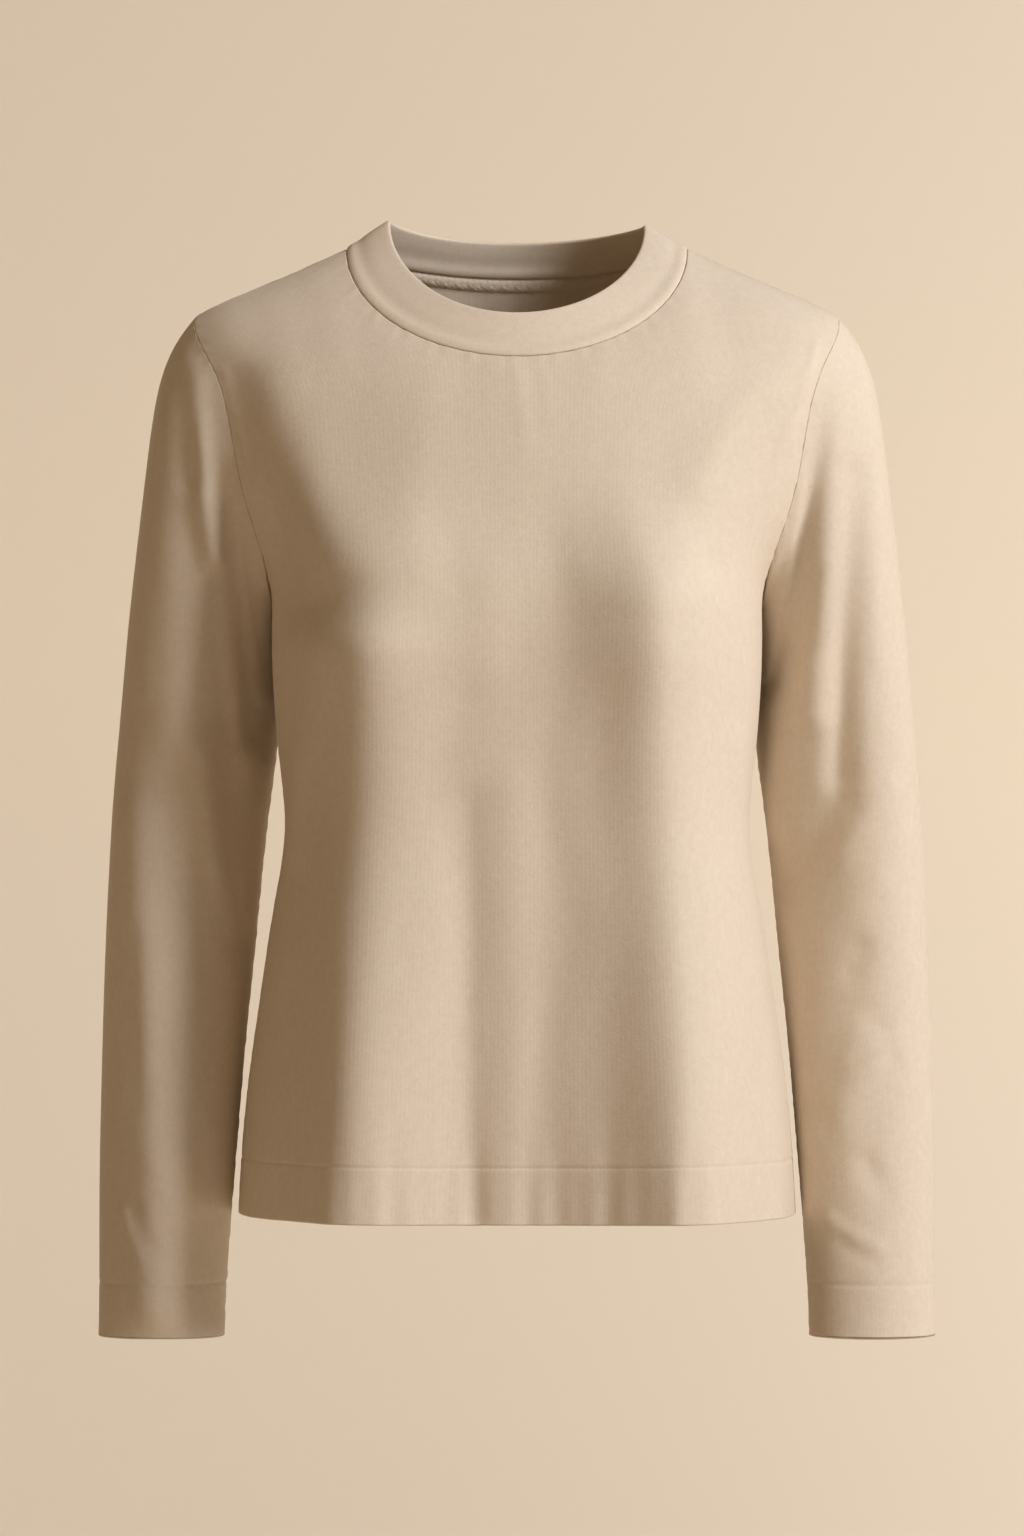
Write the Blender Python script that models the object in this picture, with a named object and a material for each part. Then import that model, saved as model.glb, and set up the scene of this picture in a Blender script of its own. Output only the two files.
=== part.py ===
"""A long-sleeved crew-neck top in fine jersey, hollow and filled out as it is when worn.

Its cut pieces are the front, the back, two sleeves, a folded neckband and a narrow tape inside the
back neck. The origin is the middle of the neck, level with the inner ends of the shoulder seams.
+X is the wearer's left, -Y the front and +Z up. Every length is in metres.
"""

import math
from typing import NamedTuple

import bmesh
import bpy
import numpy as np

# Cloth and seams
WALL = 0.0016
HEM_WALL = 0.0030
BAND_WALL = 0.0026
TAPE_WALL = 0.0010
SEAM_GAP = 0.0003
MOST_MITRE = 2.0
ROUGHNESS = 0.85

# Heights on the body
HEM = -0.588
HEM_TURN = 0.034
UNDERARM = -0.205
SHOULDER_POINT = -0.041
STITCH_HALF = 0.0006
SIDE_Y = 0.004

# How far from its sides, as the sine of the turn, a surface's folds reach their full height
SIDE_FADE = 0.5

# Armhole: how far round the body it swings in from the side, and how much more near its top
FRONT_SWING = math.radians(31.5)
BACK_SWING = math.radians(28.5)
SWING_SKEW = 0.35

# Neck seam and the neckband's folded top edge
NECK_HALF_WIDTH = 0.104
NECK_FRONT_DROP = 0.070
NECK_BACK_DROP = 0.012
BAND_TOP_HALF_WIDTH = 0.078
BAND_TOP_RISE = 0.015
BAND_TOP_FRONT_DROP = 0.0576
BAND_TOP_BACK_DROP = 0.008
BAND_TOP_FRONT_Y = -0.059
BAND_TOP_BACK_Y = 0.053

# Tape inside the back neck
TAPE_TOP = 0.0010
TAPE_WIDTH = 0.0078
TAPE_GAP = 0.0006
TAPE_BEND_RANGE = (0.2, 0.8)

# Steps of the meshes
SIDE_STEPS = 14
ARMHOLE_STEPS = 12
SHOULDER_STEPS = 5
NECK_STEPS = 20
SLEEVE_STEPS = 22
TOP_PULL = 1.5
RELAX_ROUNDS = 500
CROWDED_ROWS = 4
CROWDING = 0.25
JOIN_ROWS = 4.0
LEAVING_ROWS = 0.2
SHARP_ANGLE = math.radians(50)
TINY = 1e-4

FRONT = 1
BACK = -1
LEFT = 1
RIGHT = -1


class Section(NamedTuple):
    """A level section of the body: its half width, its depths from the side seams and its roundness."""

    height: float
    half_width: float
    front: float
    back: float
    front_power: float
    back_power: float


class Hoop(NamedTuple):
    """A ring of the sleeve: its outer end, its inner end beside the body and its half depth."""

    outer_x: float
    outer_y: float
    outer_z: float
    inner_x: float
    inner_y: float
    inner_z: float
    half_depth: float


class Fold(NamedTuple):
    """A soft ridge or trough seen from the front: its two ends, its height at each, its bow and width."""

    x0: float
    z0: float
    height0: float
    x1: float
    z1: float
    height1: float
    bow: float
    width: float


class BandPoint(NamedTuple):
    """A point of the neckband's section: its height over the seam and its distance off the outer face."""

    share: float
    off: float


BODY = (
    Section(-0.588, 0.1700, 0.1270, 0.1120, 2.20, 2.15),
    Section(-0.550, 0.1678, 0.1255, 0.1105, 2.20, 2.15),
    Section(-0.507, 0.1637, 0.1235, 0.1075, 2.20, 2.15),
    Section(-0.459, 0.1570, 0.1205, 0.1030, 2.22, 2.15),
    Section(-0.397, 0.1475, 0.1170, 0.0975, 2.25, 2.15),
    Section(-0.353, 0.1415, 0.1150, 0.0960, 2.30, 2.15),
    Section(-0.318, 0.1442, 0.1155, 0.0985, 2.35, 2.15),
    Section(-0.276, 0.1480, 0.1170, 0.1020, 2.42, 2.15),
    Section(-0.230, 0.1493, 0.1175, 0.1050, 2.45, 2.15),
    Section(-0.205, 0.1512, 0.1150, 0.1065, 2.42, 2.18),
    Section(-0.178, 0.1655, 0.1090, 0.1075, 2.38, 2.20),
    Section(-0.152, 0.1830, 0.1020, 0.1070, 2.32, 2.20),
    Section(-0.112, 0.2030, 0.0910, 0.1030, 2.28, 2.20),
    Section(-0.072, 0.2115, 0.0765, 0.0945, 2.22, 2.20),
    Section(-0.041, 0.1950, 0.0540, 0.0845, 2.15, 2.15),
    Section(-0.020, 0.1485, 0.0385, 0.0765, 2.10, 2.05),
    Section(0.000, 0.1040, 0.0220, 0.0680, 2.00, 1.95),
)

SLEEVE = (
    Hoop(0.1950, 0.003, -0.0410, 0.1512, 0.004, -0.2050, 0.0510),
    Hoop(0.2080, 0.004, -0.0580, 0.1510, 0.012, -0.2150, 0.0520),
    Hoop(0.2185, 0.004, -0.0850, 0.1491, 0.024, -0.2270, 0.0530),
    Hoop(0.2250, 0.006, -0.1250, 0.1481, 0.033, -0.2430, 0.0530),
    Hoop(0.2312, 0.008, -0.1750, 0.1470, 0.040, -0.2620, 0.0520),
    Hoop(0.2375, 0.011, -0.2300, 0.1466, 0.044, -0.2850, 0.0510),
    Hoop(0.2425, 0.013, -0.2850, 0.1485, 0.044, -0.3120, 0.0500),
    Hoop(0.2465, 0.014, -0.3300, 0.1525, 0.042, -0.3430, 0.0490),
    Hoop(0.2495, 0.013, -0.3800, 0.1570, 0.038, -0.3850, 0.0470),
    Hoop(0.2517, 0.011, -0.4300, 0.1610, 0.030, -0.4300, 0.0450),
    Hoop(0.2532, 0.007, -0.4850, 0.1662, 0.019, -0.4850, 0.0420),
    Hoop(0.2540, 0.000, -0.5350, 0.1700, 0.008, -0.5350, 0.0390),
    Hoop(0.2542, -0.007, -0.5800, 0.1733, -0.003, -0.5800, 0.0355),
    Hoop(0.2537, -0.017, -0.6320, 0.1765, -0.015, -0.6320, 0.0320),
    Hoop(0.2538, -0.023, -0.6610, 0.1772, -0.023, -0.6610, 0.0305),
)
CUFF_STITCH_ROW = 13
CUFF_ROW = 14

FRONT_FOLDS = (
    Fold(-0.076, -0.212, 0.009, -0.080, -0.240, 0.009, 0.000, 0.046),
    Fold(0.080, -0.212, 0.009, 0.080, -0.240, 0.009, 0.000, 0.046),
    Fold(-0.080, -0.270, 0.006, -0.104, -0.600, 0.012, 0.006, 0.034),
    Fold(0.082, -0.270, 0.006, 0.092, -0.600, 0.013, -0.004, 0.035),
    Fold(-0.002, -0.300, 0.001, -0.004, -0.600, 0.004, 0.000, 0.016),
    Fold(-0.158, -0.085, -0.003, -0.108, -0.215, -0.006, 0.006, 0.020),
    Fold(0.168, -0.075, 0.002, 0.112, -0.145, 0.003, 0.004, 0.018),
    Fold(-0.112, -0.230, 0.003, -0.136, -0.370, 0.002, 0.004, 0.012),
    Fold(0.050, -0.215, -0.003, 0.056, -0.250, -0.003, 0.000, 0.026),
)
BACK_FOLDS = (
    Fold(-0.070, -0.120, 0.004, -0.074, -0.180, 0.004, 0.000, 0.045),
    Fold(0.070, -0.120, 0.004, 0.074, -0.180, 0.004, 0.000, 0.045),
    Fold(-0.070, -0.270, 0.003, -0.092, -0.600, 0.010, -0.005, 0.032),
    Fold(0.066, -0.290, 0.003, 0.084, -0.600, 0.011, 0.006, 0.034),
    Fold(0.004, -0.330, 0.001, 0.000, -0.600, 0.006, 0.003, 0.022),
    Fold(-0.150, -0.100, -0.002, -0.105, -0.220, -0.004, 0.005, 0.020),
    Fold(0.152, -0.095, -0.002, 0.108, -0.230, -0.004, -0.005, 0.021),
)
LEFT_FRONT_FOLDS = (
    Fold(0.187, -0.095, -0.003, 0.159, -0.262, -0.004, 0.006, 0.010),
    Fold(0.197, -0.094, 0.003, 0.185, -0.280, 0.003, -0.004, 0.013),
    Fold(0.211, -0.141, -0.002, 0.207, -0.315, -0.004, 0.003, 0.010),
    Fold(0.201, -0.350, -0.004, 0.165, -0.401, -0.003, 0.004, 0.011),
    Fold(0.173, -0.256, 0.002, 0.158, -0.352, 0.004, 0.002, 0.010),
    Fold(0.223, -0.486, 0.003, 0.186, -0.540, 0.002, 0.003, 0.011),
)
LEFT_BACK_FOLDS = (
    Fold(0.200, -0.110, -0.003, 0.176, -0.270, -0.003, 0.005, 0.012),
    Fold(0.226, -0.345, 0.003, 0.180, -0.382, 0.004, 0.004, 0.011),
    Fold(0.222, -0.398, 0.002, 0.176, -0.430, 0.003, 0.003, 0.010),
    Fold(0.216, -0.470, -0.002, 0.214, -0.580, -0.002, 0.002, 0.014),
)
RIGHT_FRONT_FOLDS = (
    Fold(-0.190, -0.072, 0.003, -0.177, -0.180, 0.003, 0.003, 0.008),
    Fold(-0.200, -0.084, -0.002, -0.196, -0.141, -0.003, 0.002, 0.009),
    Fold(-0.175, -0.141, -0.003, -0.155, -0.300, -0.004, 0.004, 0.010),
    Fold(-0.211, -0.112, 0.002, -0.206, -0.293, 0.004, 0.002, 0.016),
    Fold(-0.193, -0.309, 0.004, -0.168, -0.412, 0.003, 0.004, 0.010),
    Fold(-0.182, -0.318, -0.003, -0.162, -0.395, -0.003, 0.003, 0.010),
    Fold(-0.224, -0.350, 0.002, -0.218, -0.515, 0.004, -0.003, 0.020),
    Fold(-0.212, -0.556, 0.002, -0.202, -0.580, 0.002, 0.000, 0.012),
)
RIGHT_BACK_FOLDS = (
    Fold(-0.201, -0.105, -0.003, -0.178, -0.262, -0.003, -0.005, 0.012),
    Fold(-0.224, -0.352, 0.004, -0.180, -0.386, 0.003, -0.004, 0.012),
    Fold(-0.220, -0.410, 0.002, -0.178, -0.436, 0.003, -0.003, 0.010),
    Fold(-0.214, -0.480, -0.002, -0.216, -0.590, -0.002, 0.002, 0.014),
)
SLEEVE_FOLDS = {
    LEFT: (LEFT_FRONT_FOLDS, LEFT_BACK_FOLDS),
    RIGHT: (RIGHT_FRONT_FOLDS, RIGHT_BACK_FOLDS),
}

BAND_OUTSIDE = (
    BandPoint(0.000, -0.0002),
    BandPoint(0.045, 0.0006),
    BandPoint(0.110, 0.0009),
    BandPoint(0.190, 0.0006),
    BandPoint(0.250, 0.0002),
    BandPoint(0.450, 0.0006),
    BandPoint(0.720, 0.0005),
    BandPoint(0.930, 0.0000),
)
BAND_INSIDE = (
    BandPoint(1.000, -0.5),
    BandPoint(0.930, -1.0),
    BandPoint(0.600, -1.0),
    BandPoint(0.250, -1.0),
    BandPoint(0.000, -1.0),
)


class Spline:
    """A natural cubic spline through one column of a table."""

    def __init__(self, knots, values):
        self.knots = np.array(knots, float)
        self.values = np.array(values, float)
        size = len(self.knots)
        gap = np.diff(self.knots)
        slope = np.diff(self.values) / gap
        matrix = np.eye(size)
        turn = np.zeros(size)
        for i in range(1, size - 1):
            matrix[i, i - 1 : i + 2] = gap[i - 1], 2 * (gap[i - 1] + gap[i]), gap[i]
            turn[i] = 6 * (slope[i] - slope[i - 1])
        self.bend = np.linalg.solve(matrix, turn)

    def __call__(self, at):
        i = np.clip(np.searchsorted(self.knots, at) - 1, 0, len(self.knots) - 2)
        gap = self.knots[i + 1] - self.knots[i]
        far = (at - self.knots[i]) / gap
        near = 1 - far
        straight = near * self.values[i] + far * self.values[i + 1]
        curve = (near**3 - near) * self.bend[i] + (far**3 - far) * self.bend[i + 1]
        return straight + curve * gap**2 / 6


BODY_CURVES = Section(*(Spline([row.height for row in BODY], column) for column in zip(*BODY)))
SLEEVE_CURVES = Hoop(*(Spline(range(len(SLEEVE)), column) for column in zip(*SLEEVE)))


def unit(vectors):
    return vectors / np.linalg.norm(vectors, axis=-1, keepdims=True)


def ease(share):
    """A smooth step from 0 to 1."""
    share = np.clip(share, 0, 1)
    return share * share * (3 - 2 * share)


def normals(surface, a, b):
    """Outward normals of a surface whose first direction turns from the left side over the front."""
    along_a = surface(a + TINY, b) - surface(a - TINY, b)
    along_b = surface(a, b + TINY) - surface(a, b - TINY)
    return unit(np.cross(along_b, along_a))


def relief(folds, x, z):
    """How far the folds stand out of the plain surface at points seen from the front."""
    total = np.zeros(np.shape(x))
    for fold in folds:
        run_x = fold.x1 - fold.x0
        run_z = fold.z1 - fold.z0
        length = math.hypot(run_x, run_z)
        along = ((x - fold.x0) * run_x + (z - fold.z0) * run_z) / length**2
        crest = np.clip(along, 0, 1)
        beyond = (along - crest) * length
        aside = ((x - fold.x0) * run_z - (z - fold.z0) * run_x) / length
        aside = aside - fold.bow * 4 * crest * (1 - crest)
        height = fold.height0 + (fold.height1 - fold.height0) * ease(crest)
        total = total + height * np.exp(-(aside**2 + beyond**2) / fold.width**2)
    return total


def form(theta, height):
    """The body without its folds: theta is 0 at the wearer's left side and positive over the front."""
    front = np.sin(theta) >= 0
    power = np.where(front, BODY_CURVES.front_power(height), BODY_CURVES.back_power(height))
    depth = np.where(front, BODY_CURVES.front(height), -BODY_CURVES.back(height))
    across = np.sign(np.cos(theta)) * np.abs(np.cos(theta)) ** (2 / power)
    x = BODY_CURVES.half_width(height) * across
    y = SIDE_Y - depth * np.abs(np.sin(theta)) ** (2 / power)
    return np.stack([x, y, height + 0 * x], -1)


def body(theta, height):
    """The body's outer surface, with its folds."""
    base = form(theta, height)
    x = base[..., 0]
    front = np.sin(theta) >= 0
    lift = np.where(front, relief(FRONT_FOLDS, x, height), relief(BACK_FOLDS, x, height))
    lift = lift * ease(np.abs(np.sin(theta)) / SIDE_FADE)
    return base + normals(form, theta, height) * lift[..., None]


def angle_on_form(points, face):
    """The angle round the body at which each point's level section passes nearest to it."""
    height = points[..., 2]
    curves = BODY_CURVES
    power = curves.front_power(height) if face == FRONT else curves.back_power(height)
    depth = curves.front(height) if face == FRONT else curves.back(height)
    x = points[..., 0] / curves.half_width(height)
    y = np.maximum(face * (SIDE_Y - points[..., 1]), 0) / depth
    return face * np.arctan2(y ** (power / 2), np.sign(x) * np.abs(x) ** (power / 2))


def armhole_path(side, around):
    """The armhole's angle and height: around is 0 at the shoulder point and pi under the arm."""
    swing = np.where(np.sin(around) >= 0, FRONT_SWING, BACK_SWING)
    theta = swing * np.sin(around) * (1 + SWING_SKEW * np.cos(around))
    middle = (SHOULDER_POINT + UNDERARM) / 2
    height = middle + (SHOULDER_POINT - UNDERARM) / 2 * np.cos(around)
    if side == RIGHT:
        theta = np.where(theta >= 0, math.pi - theta, -math.pi - theta)
    return theta, height


def armhole(side, around):
    """A point of the armhole seam."""
    return body(*armhole_path(side, around))


def neck_path(turn):
    """The neck seam: turn runs from the left shoulder over the front, and on over the back."""
    swell = np.abs(np.sin(turn))
    front = np.sin(turn) >= 0
    height = -np.where(front, NECK_FRONT_DROP * swell, NECK_BACK_DROP * swell**2)
    x = NECK_HALF_WIDTH * np.cos(turn)
    power = np.where(front, BODY_CURVES.front_power(height), BODY_CURVES.back_power(height))
    ratio = np.clip(np.abs(x) / BODY_CURVES.half_width(height), 0, 1)
    theta = np.arccos(np.sign(x) * ratio ** (power / 2))
    return np.where(front, theta, -theta), height


def neck_seam(turn):
    """A point of the neck seam."""
    return body(*neck_path(turn))


def band_top(turn):
    """A point of the neckband's folded top edge."""
    front = np.sin(turn) >= 0
    swell = np.abs(np.sin(turn))
    y = SIDE_Y + np.where(front, BAND_TOP_FRONT_Y - SIDE_Y, BAND_TOP_BACK_Y - SIDE_Y) * swell
    drop = np.where(front, BAND_TOP_FRONT_DROP * swell, BAND_TOP_BACK_DROP * swell**2)
    return np.stack([BAND_TOP_HALF_WIDTH * np.cos(turn), y, BAND_TOP_RISE - drop], -1)


def hoop(side, around, along):
    """A point of the sleeve's plain rings."""
    ring = Hoop(*(curve(along) for curve in SLEEVE_CURVES))
    out = (1 + np.cos(around)) / 2
    x = ring.inner_x + (ring.outer_x - ring.inner_x) * out
    y = ring.inner_y + (ring.outer_y - ring.inner_y) * out - ring.half_depth * np.sin(around)
    z = ring.inner_z + (ring.outer_z - ring.inner_z) * out
    return np.stack([side * x, y, z], -1)


def sleeve(side, around, along):
    """The sleeve's outer surface: its rings, drawn on to the armhole seam at their top."""
    ring = hoop(side, around, along)
    pull = (1 - np.clip(along / JOIN_ROWS, 0, 1)) ** 3
    base = ring + (armhole(side, around) - hoop(side, around, 0 * along)) * pull[..., None]
    middle = (hoop(side, 0 * around, along) + hoop(side, 0 * around + math.pi, along)) / 2
    front, back = SLEEVE_FOLDS[side]
    x = ring[..., 0]
    z = ring[..., 2]
    facing = np.sin(around)
    lift = np.where(facing >= 0, relief(front, x, z), relief(back, x, z))
    lift = lift * ease(np.abs(facing) / SIDE_FADE) * ease(2 * along / JOIN_ROWS)
    return base + unit(ring - middle) * lift[..., None]


def across_edge(edge, beside, normal, closed=False):
    """Unit vectors in the surface, square to an edge, towards the row beside it."""
    if closed:
        tangent = np.roll(edge, -1, 0) - np.roll(edge, 1, 0)
    else:
        tangent = np.gradient(edge, axis=0)
    into = unit(np.cross(tangent, normal))
    turned = ((beside - edge) * into).sum(-1, keepdims=True) < 0
    return np.where(turned, -into, into)


def mitre(own, other, normal):
    """How far two walls' inner edges step back to meet on the line between them, for a wall of 1."""
    cosine = np.clip((own * other).sum(-1), -0.999, 0.999)
    lean = np.sqrt((1 + cosine) / (1 - cosine))
    lean = np.where((normal * other).sum(-1) < 0, lean, 0)
    return np.clip(lean, 0, MOST_MITRE)


def panel_grid(face):
    """Angles and heights of a body panel: rows from hem to shoulder, columns from left to right."""
    turned = [HEM, HEM + HEM_TURN / 2, HEM + HEM_TURN - STITCH_HALF, HEM + HEM_TURN + STITCH_HALF]
    sides = np.concatenate([turned, np.linspace(turned[-1], UNDERARM, SIDE_STEPS + 1)[1:]])
    theta, height = armhole_path(LEFT, face * np.linspace(math.pi, 0, ARMHOLE_STEPS + 1)[1:])
    left = form(np.concatenate([0 * sides, theta]), np.concatenate([sides, height]))
    shoulder = np.linspace(SHOULDER_POINT, 0, SHOULDER_STEPS + 1)[:-1]
    theta, height = neck_path(face * np.linspace(0, math.pi, NECK_STEPS + 1))
    theta = np.concatenate([0 * shoulder, theta, 0 * shoulder + face * math.pi])
    top = form(theta, np.concatenate([shoulder, height, shoulder[::-1]]))
    bottom = form(face * np.linspace(0, math.pi, len(top)), np.full(len(top), HEM))
    points = fill_edges(left[:, None], top[None], bottom[None])
    return relax(points, face, len(turned))


def fill_edges(left, top, bottom):
    """Points between a panel's four edges, the right edge being the left one mirrored."""
    u = np.linspace(0, 1, top.shape[1])[None, :, None]
    reach = np.cumsum(np.linalg.norm(np.diff(left, axis=0, prepend=left[:1]), axis=-1), axis=0)
    pull = ease((reach / reach[-1]) ** TOP_PULL)[..., None]
    right = left * (-1, 1, 1)
    bottom = bottom - (1 - u) * left[0] - u * right[0]
    top = top - (1 - u) * left[-1] - u * right[-1]
    return (1 - u) * left + u * right + (1 - pull) * bottom + pull * top


def relax(points, face, level_rows):
    """Angles and heights of the points on the body's form, evened out above the level rows."""
    edge = points.copy()
    aside = np.abs(np.linspace(-1, 1, points.shape[1])[1:-1])
    crowd = np.zeros((len(points) - level_rows - 1, len(aside), 1))
    crowd[-CROWDED_ROWS:] = CROWDING * aside[:, None] ** 2
    for _ in range(RELAX_ROUNDS):
        points = form(angle_on_form(points, face), points[..., 2])
        near = points[level_rows - 1 :]
        across = (near[1:-1, 2:] - near[1:-1, :-2]) / 2
        upward = (near[2:, 1:-1] - near[:-2, 1:-1]) / 2
        twist = (near[2:, 2:] - near[2:, :-2] - near[:-2, 2:] + near[:-2, :-2]) / 2
        beside = near[1:-1, :-2] + near[1:-1, 2:]
        above = near[:-2, 1:-1] * (1 - crowd) + near[2:, 1:-1] * (1 + crowd)
        a = (upward**2).sum(-1, keepdims=True)
        b = (across * upward).sum(-1, keepdims=True)
        c = (across**2).sum(-1, keepdims=True)
        points[level_rows:-1, 1:-1] = (a * beside - b * twist + c * above) / (2 * (a + c))
    points[0] = edge[0]
    points[-1] = edge[-1]
    return angle_on_form(points, face), points[..., 2]


def loft(name, loops, closed, colour):
    """One solid through closed loops, each an outer line up and an inner line down."""
    mesh = bpy.data.meshes.new(name)
    build = bmesh.new()
    rings = [[build.verts.new(point) for point in loop] for loop in loops]
    size = len(rings[0])
    pairs = list(zip(rings, rings[1:]))
    if closed:
        pairs.append((rings[-1], rings[0]))
    for here, there in pairs:
        for i in range(size):
            j = (i + 1) % size
            build.faces.new((here[i], here[j], there[j], there[i]))
    if not closed:
        for ring in (rings[0], rings[-1]):
            for i in range(size // 2 - 1):
                build.faces.new((ring[i], ring[i + 1], ring[size - 2 - i], ring[size - 1 - i]))
    bmesh.ops.triangulate(build, faces=build.faces, quad_method="SHORT_EDGE")
    bmesh.ops.recalc_face_normals(build, faces=build.faces)
    build.to_mesh(mesh)
    build.free()
    mesh.shade_smooth()
    mesh.set_sharp_from_angle(angle=SHARP_ANGLE)
    part = bpy.data.objects.new(name, mesh)
    bpy.context.scene.collection.objects.link(part)
    part.data.materials.append(cloth(name + "_cloth", colour))
    return part


def cloth(name, colour):
    """A matt jersey finish."""
    material = bpy.data.materials.new(name)
    material.use_nodes = True
    shader = material.node_tree.nodes["Principled BSDF"]
    shader.inputs["Base Color"].default_value = (*colour, 1)
    shader.inputs["Roughness"].default_value = ROUGHNESS
    shader.inputs["Metallic"].default_value = 0
    return material


def walls(outer, inner):
    """Closed loops from an outer and an inner grid whose rows run first."""
    return np.concatenate([outer, inner[::-1]], axis=0).swapaxes(0, 1)


def sleeve_step(side, around):
    """The way the sleeve leaves the armhole seam, square to it."""
    start = sleeve(side, around, 0 * around)
    tangent = unit(armhole(side, around + TINY) - armhole(side, around - TINY))
    away = sleeve(side, around, 0 * around + LEAVING_ROWS) - start
    return unit(away - (away * tangent).sum(-1, keepdims=True) * tangent)


def body_step(side, around):
    """The way the body leaves the armhole seam, square to it."""
    normal = normals(body, *armhole_path(side, around))
    tangent = armhole(side, around + TINY) - armhole(side, around - TINY)
    return side * unit(np.cross(tangent, normal))


def band_step(turn):
    """The way the neckband leaves the neck seam, square to it."""
    tangent = unit(neck_seam(turn + TINY) - neck_seam(turn - TINY))
    away = band_top(turn) - neck_seam(turn)
    return unit(away - (away * tangent).sum(-1, keepdims=True) * tangent)


def make_panel(name, face, colour):
    """A body panel as one wall, thicker where its hem is turned up."""
    theta, height = panel_grid(face)
    outer = body(theta, height)
    normal = normals(body, theta, height)
    rows, columns = theta.shape
    thickness = np.where(height < HEM + HEM_TURN, HEM_WALL, WALL)[..., None]
    step = np.zeros(outer.shape)
    lean = np.zeros(outer.shape)
    around = face * np.linspace(math.pi, 0, ARMHOLE_STEPS + 1)
    for side, column, beside in ((LEFT, 0, 1), (RIGHT, columns - 1, columns - 2)):
        into = across_edge(outer[:, column], outer[:, beside], normal[:, column])
        step[:, column] += into
        arm = slice(rows - ARMHOLE_STEPS - 1, rows)
        other = sleeve_step(side, around)
        amount = mitre(into[arm], other, normal[arm, column])
        lean[arm, column] += into[arm] * amount[:, None]
    top = across_edge(outer[-1], outer[-2], normal[-1])
    step[-1] += top
    neck = slice(SHOULDER_STEPS, columns - SHOULDER_STEPS)
    other = band_step(face * np.linspace(0, math.pi, NECK_STEPS + 1))
    lean[-1, neck] += top[neck] * mitre(top[neck], other, normal[-1, neck])[:, None]
    outer = outer + step * SEAM_GAP / 2
    inner = outer - normal * thickness + lean * thickness
    loft(name, walls(outer, inner), False, colour)
    return inner, normal


def make_sleeve(name, side, colour):
    """A sleeve as one tube wall, thicker where its cuff is turned up."""
    around = np.linspace(0, 2 * math.pi, 2 * ARMHOLE_STEPS + 1)[:-1]
    stitch = STITCH_HALF / (SLEEVE[CUFF_STITCH_ROW].outer_z - SLEEVE[CUFF_ROW].outer_z)
    upper = np.linspace(0, CUFF_STITCH_ROW - stitch, SLEEVE_STEPS + 1)
    lower = (CUFF_STITCH_ROW + stitch, (CUFF_STITCH_ROW + CUFF_ROW) / 2, CUFF_ROW)
    along, turn = np.meshgrid(np.concatenate([upper, lower]), around, indexing="ij")
    outer = sleeve(side, turn, along)
    normal = -side * normals(lambda a, b: sleeve(side, a, b), turn, along)
    thickness = np.where(along > CUFF_STITCH_ROW, HEM_WALL, WALL)[..., None]
    into = across_edge(outer[0], outer[1], normal[0], closed=True)
    lean = np.zeros(outer.shape)
    lean[0] = into * mitre(into, body_step(side, around), normal[0])[:, None]
    outer[0] += into * SEAM_GAP / 2
    inner = outer - normal * thickness + lean * thickness
    return loft(name, walls(outer, inner), True, colour)


def make_neckband(name, colour):
    """The folded neckband, a closed ring with a low welt along its seam."""
    turn = np.linspace(0, 2 * math.pi, 2 * NECK_STEPS + 1)[:-1]
    seam = neck_seam(turn)
    up = band_top(turn) - seam
    tangent = np.roll(seam, -1, 0) - np.roll(seam, 1, 0)
    normal = unit(np.cross(up, tangent))
    panel = unit(np.cross(normals(body, *neck_path(turn)), tangent))
    rise = band_step(turn)
    lean = mitre(rise, panel, normal)[:, None]
    loops = []
    for point in BAND_OUTSIDE:
        loops.append(seam + up * point.share + normal * point.off)
    for point in BAND_INSIDE:
        loops.append(seam + up * point.share + normal * point.off * BAND_WALL)
    loops[0] = loops[0] + rise * SEAM_GAP / 2
    loops[-1] = loops[-1] + rise * (SEAM_GAP / 2 + lean * BAND_WALL)
    return loft(name, np.array(loops).swapaxes(0, 1), True, colour)


def down_columns(grid, reach):
    """Points at the given distances down each column from a grid's top edge."""
    found = []
    for column, distances in zip(grid[::-1].swapaxes(0, 1), reach):
        run = np.concatenate([[0], np.cumsum(np.linalg.norm(np.diff(column, axis=0), axis=1))])
        found.append(np.stack([np.interp(distances, run, column[:, i]) for i in range(3)], -1))
    return np.array(found).swapaxes(0, 1)


def make_tape(name, inner, normal, colour):
    """The back neck tape, laid on the back panel's inner face under the neck seam."""
    neck = slice(SHOULDER_STEPS, inner.shape[1] - SHOULDER_STEPS)
    inner = inner[:, neck]
    inward = -normal[-1, neck]
    row_depth = np.linalg.norm(inner[-1] - inner[-2], axis=-1)
    least, most = TAPE_BEND_RANGE
    bend = np.clip(row_depth, TAPE_TOP + TAPE_WIDTH * least, TAPE_TOP + TAPE_WIDTH * most)
    reach = np.stack([0 * bend + TAPE_TOP + TAPE_WIDTH, bend, 0 * bend + TAPE_TOP], -1)
    outer = down_columns(inner, reach) + inward * TAPE_GAP
    return loft(name, walls(outer, outer + inward * TAPE_WALL), False, colour)


def main():
    for old in list(bpy.data.objects):
        bpy.data.objects.remove(old)
    make_panel("front_panel", FRONT, (0.62, 0.50, 0.37))
    inner, normal = make_panel("back_panel", BACK, (0.60, 0.48, 0.35))
    make_sleeve("sleeve_left", LEFT, (0.61, 0.49, 0.36))
    make_sleeve("sleeve_right", RIGHT, (0.61, 0.49, 0.36))
    make_neckband("neckband", (0.63, 0.51, 0.38))
    make_tape("back_neck_tape", inner, normal, (0.64, 0.53, 0.40))


main()
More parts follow.
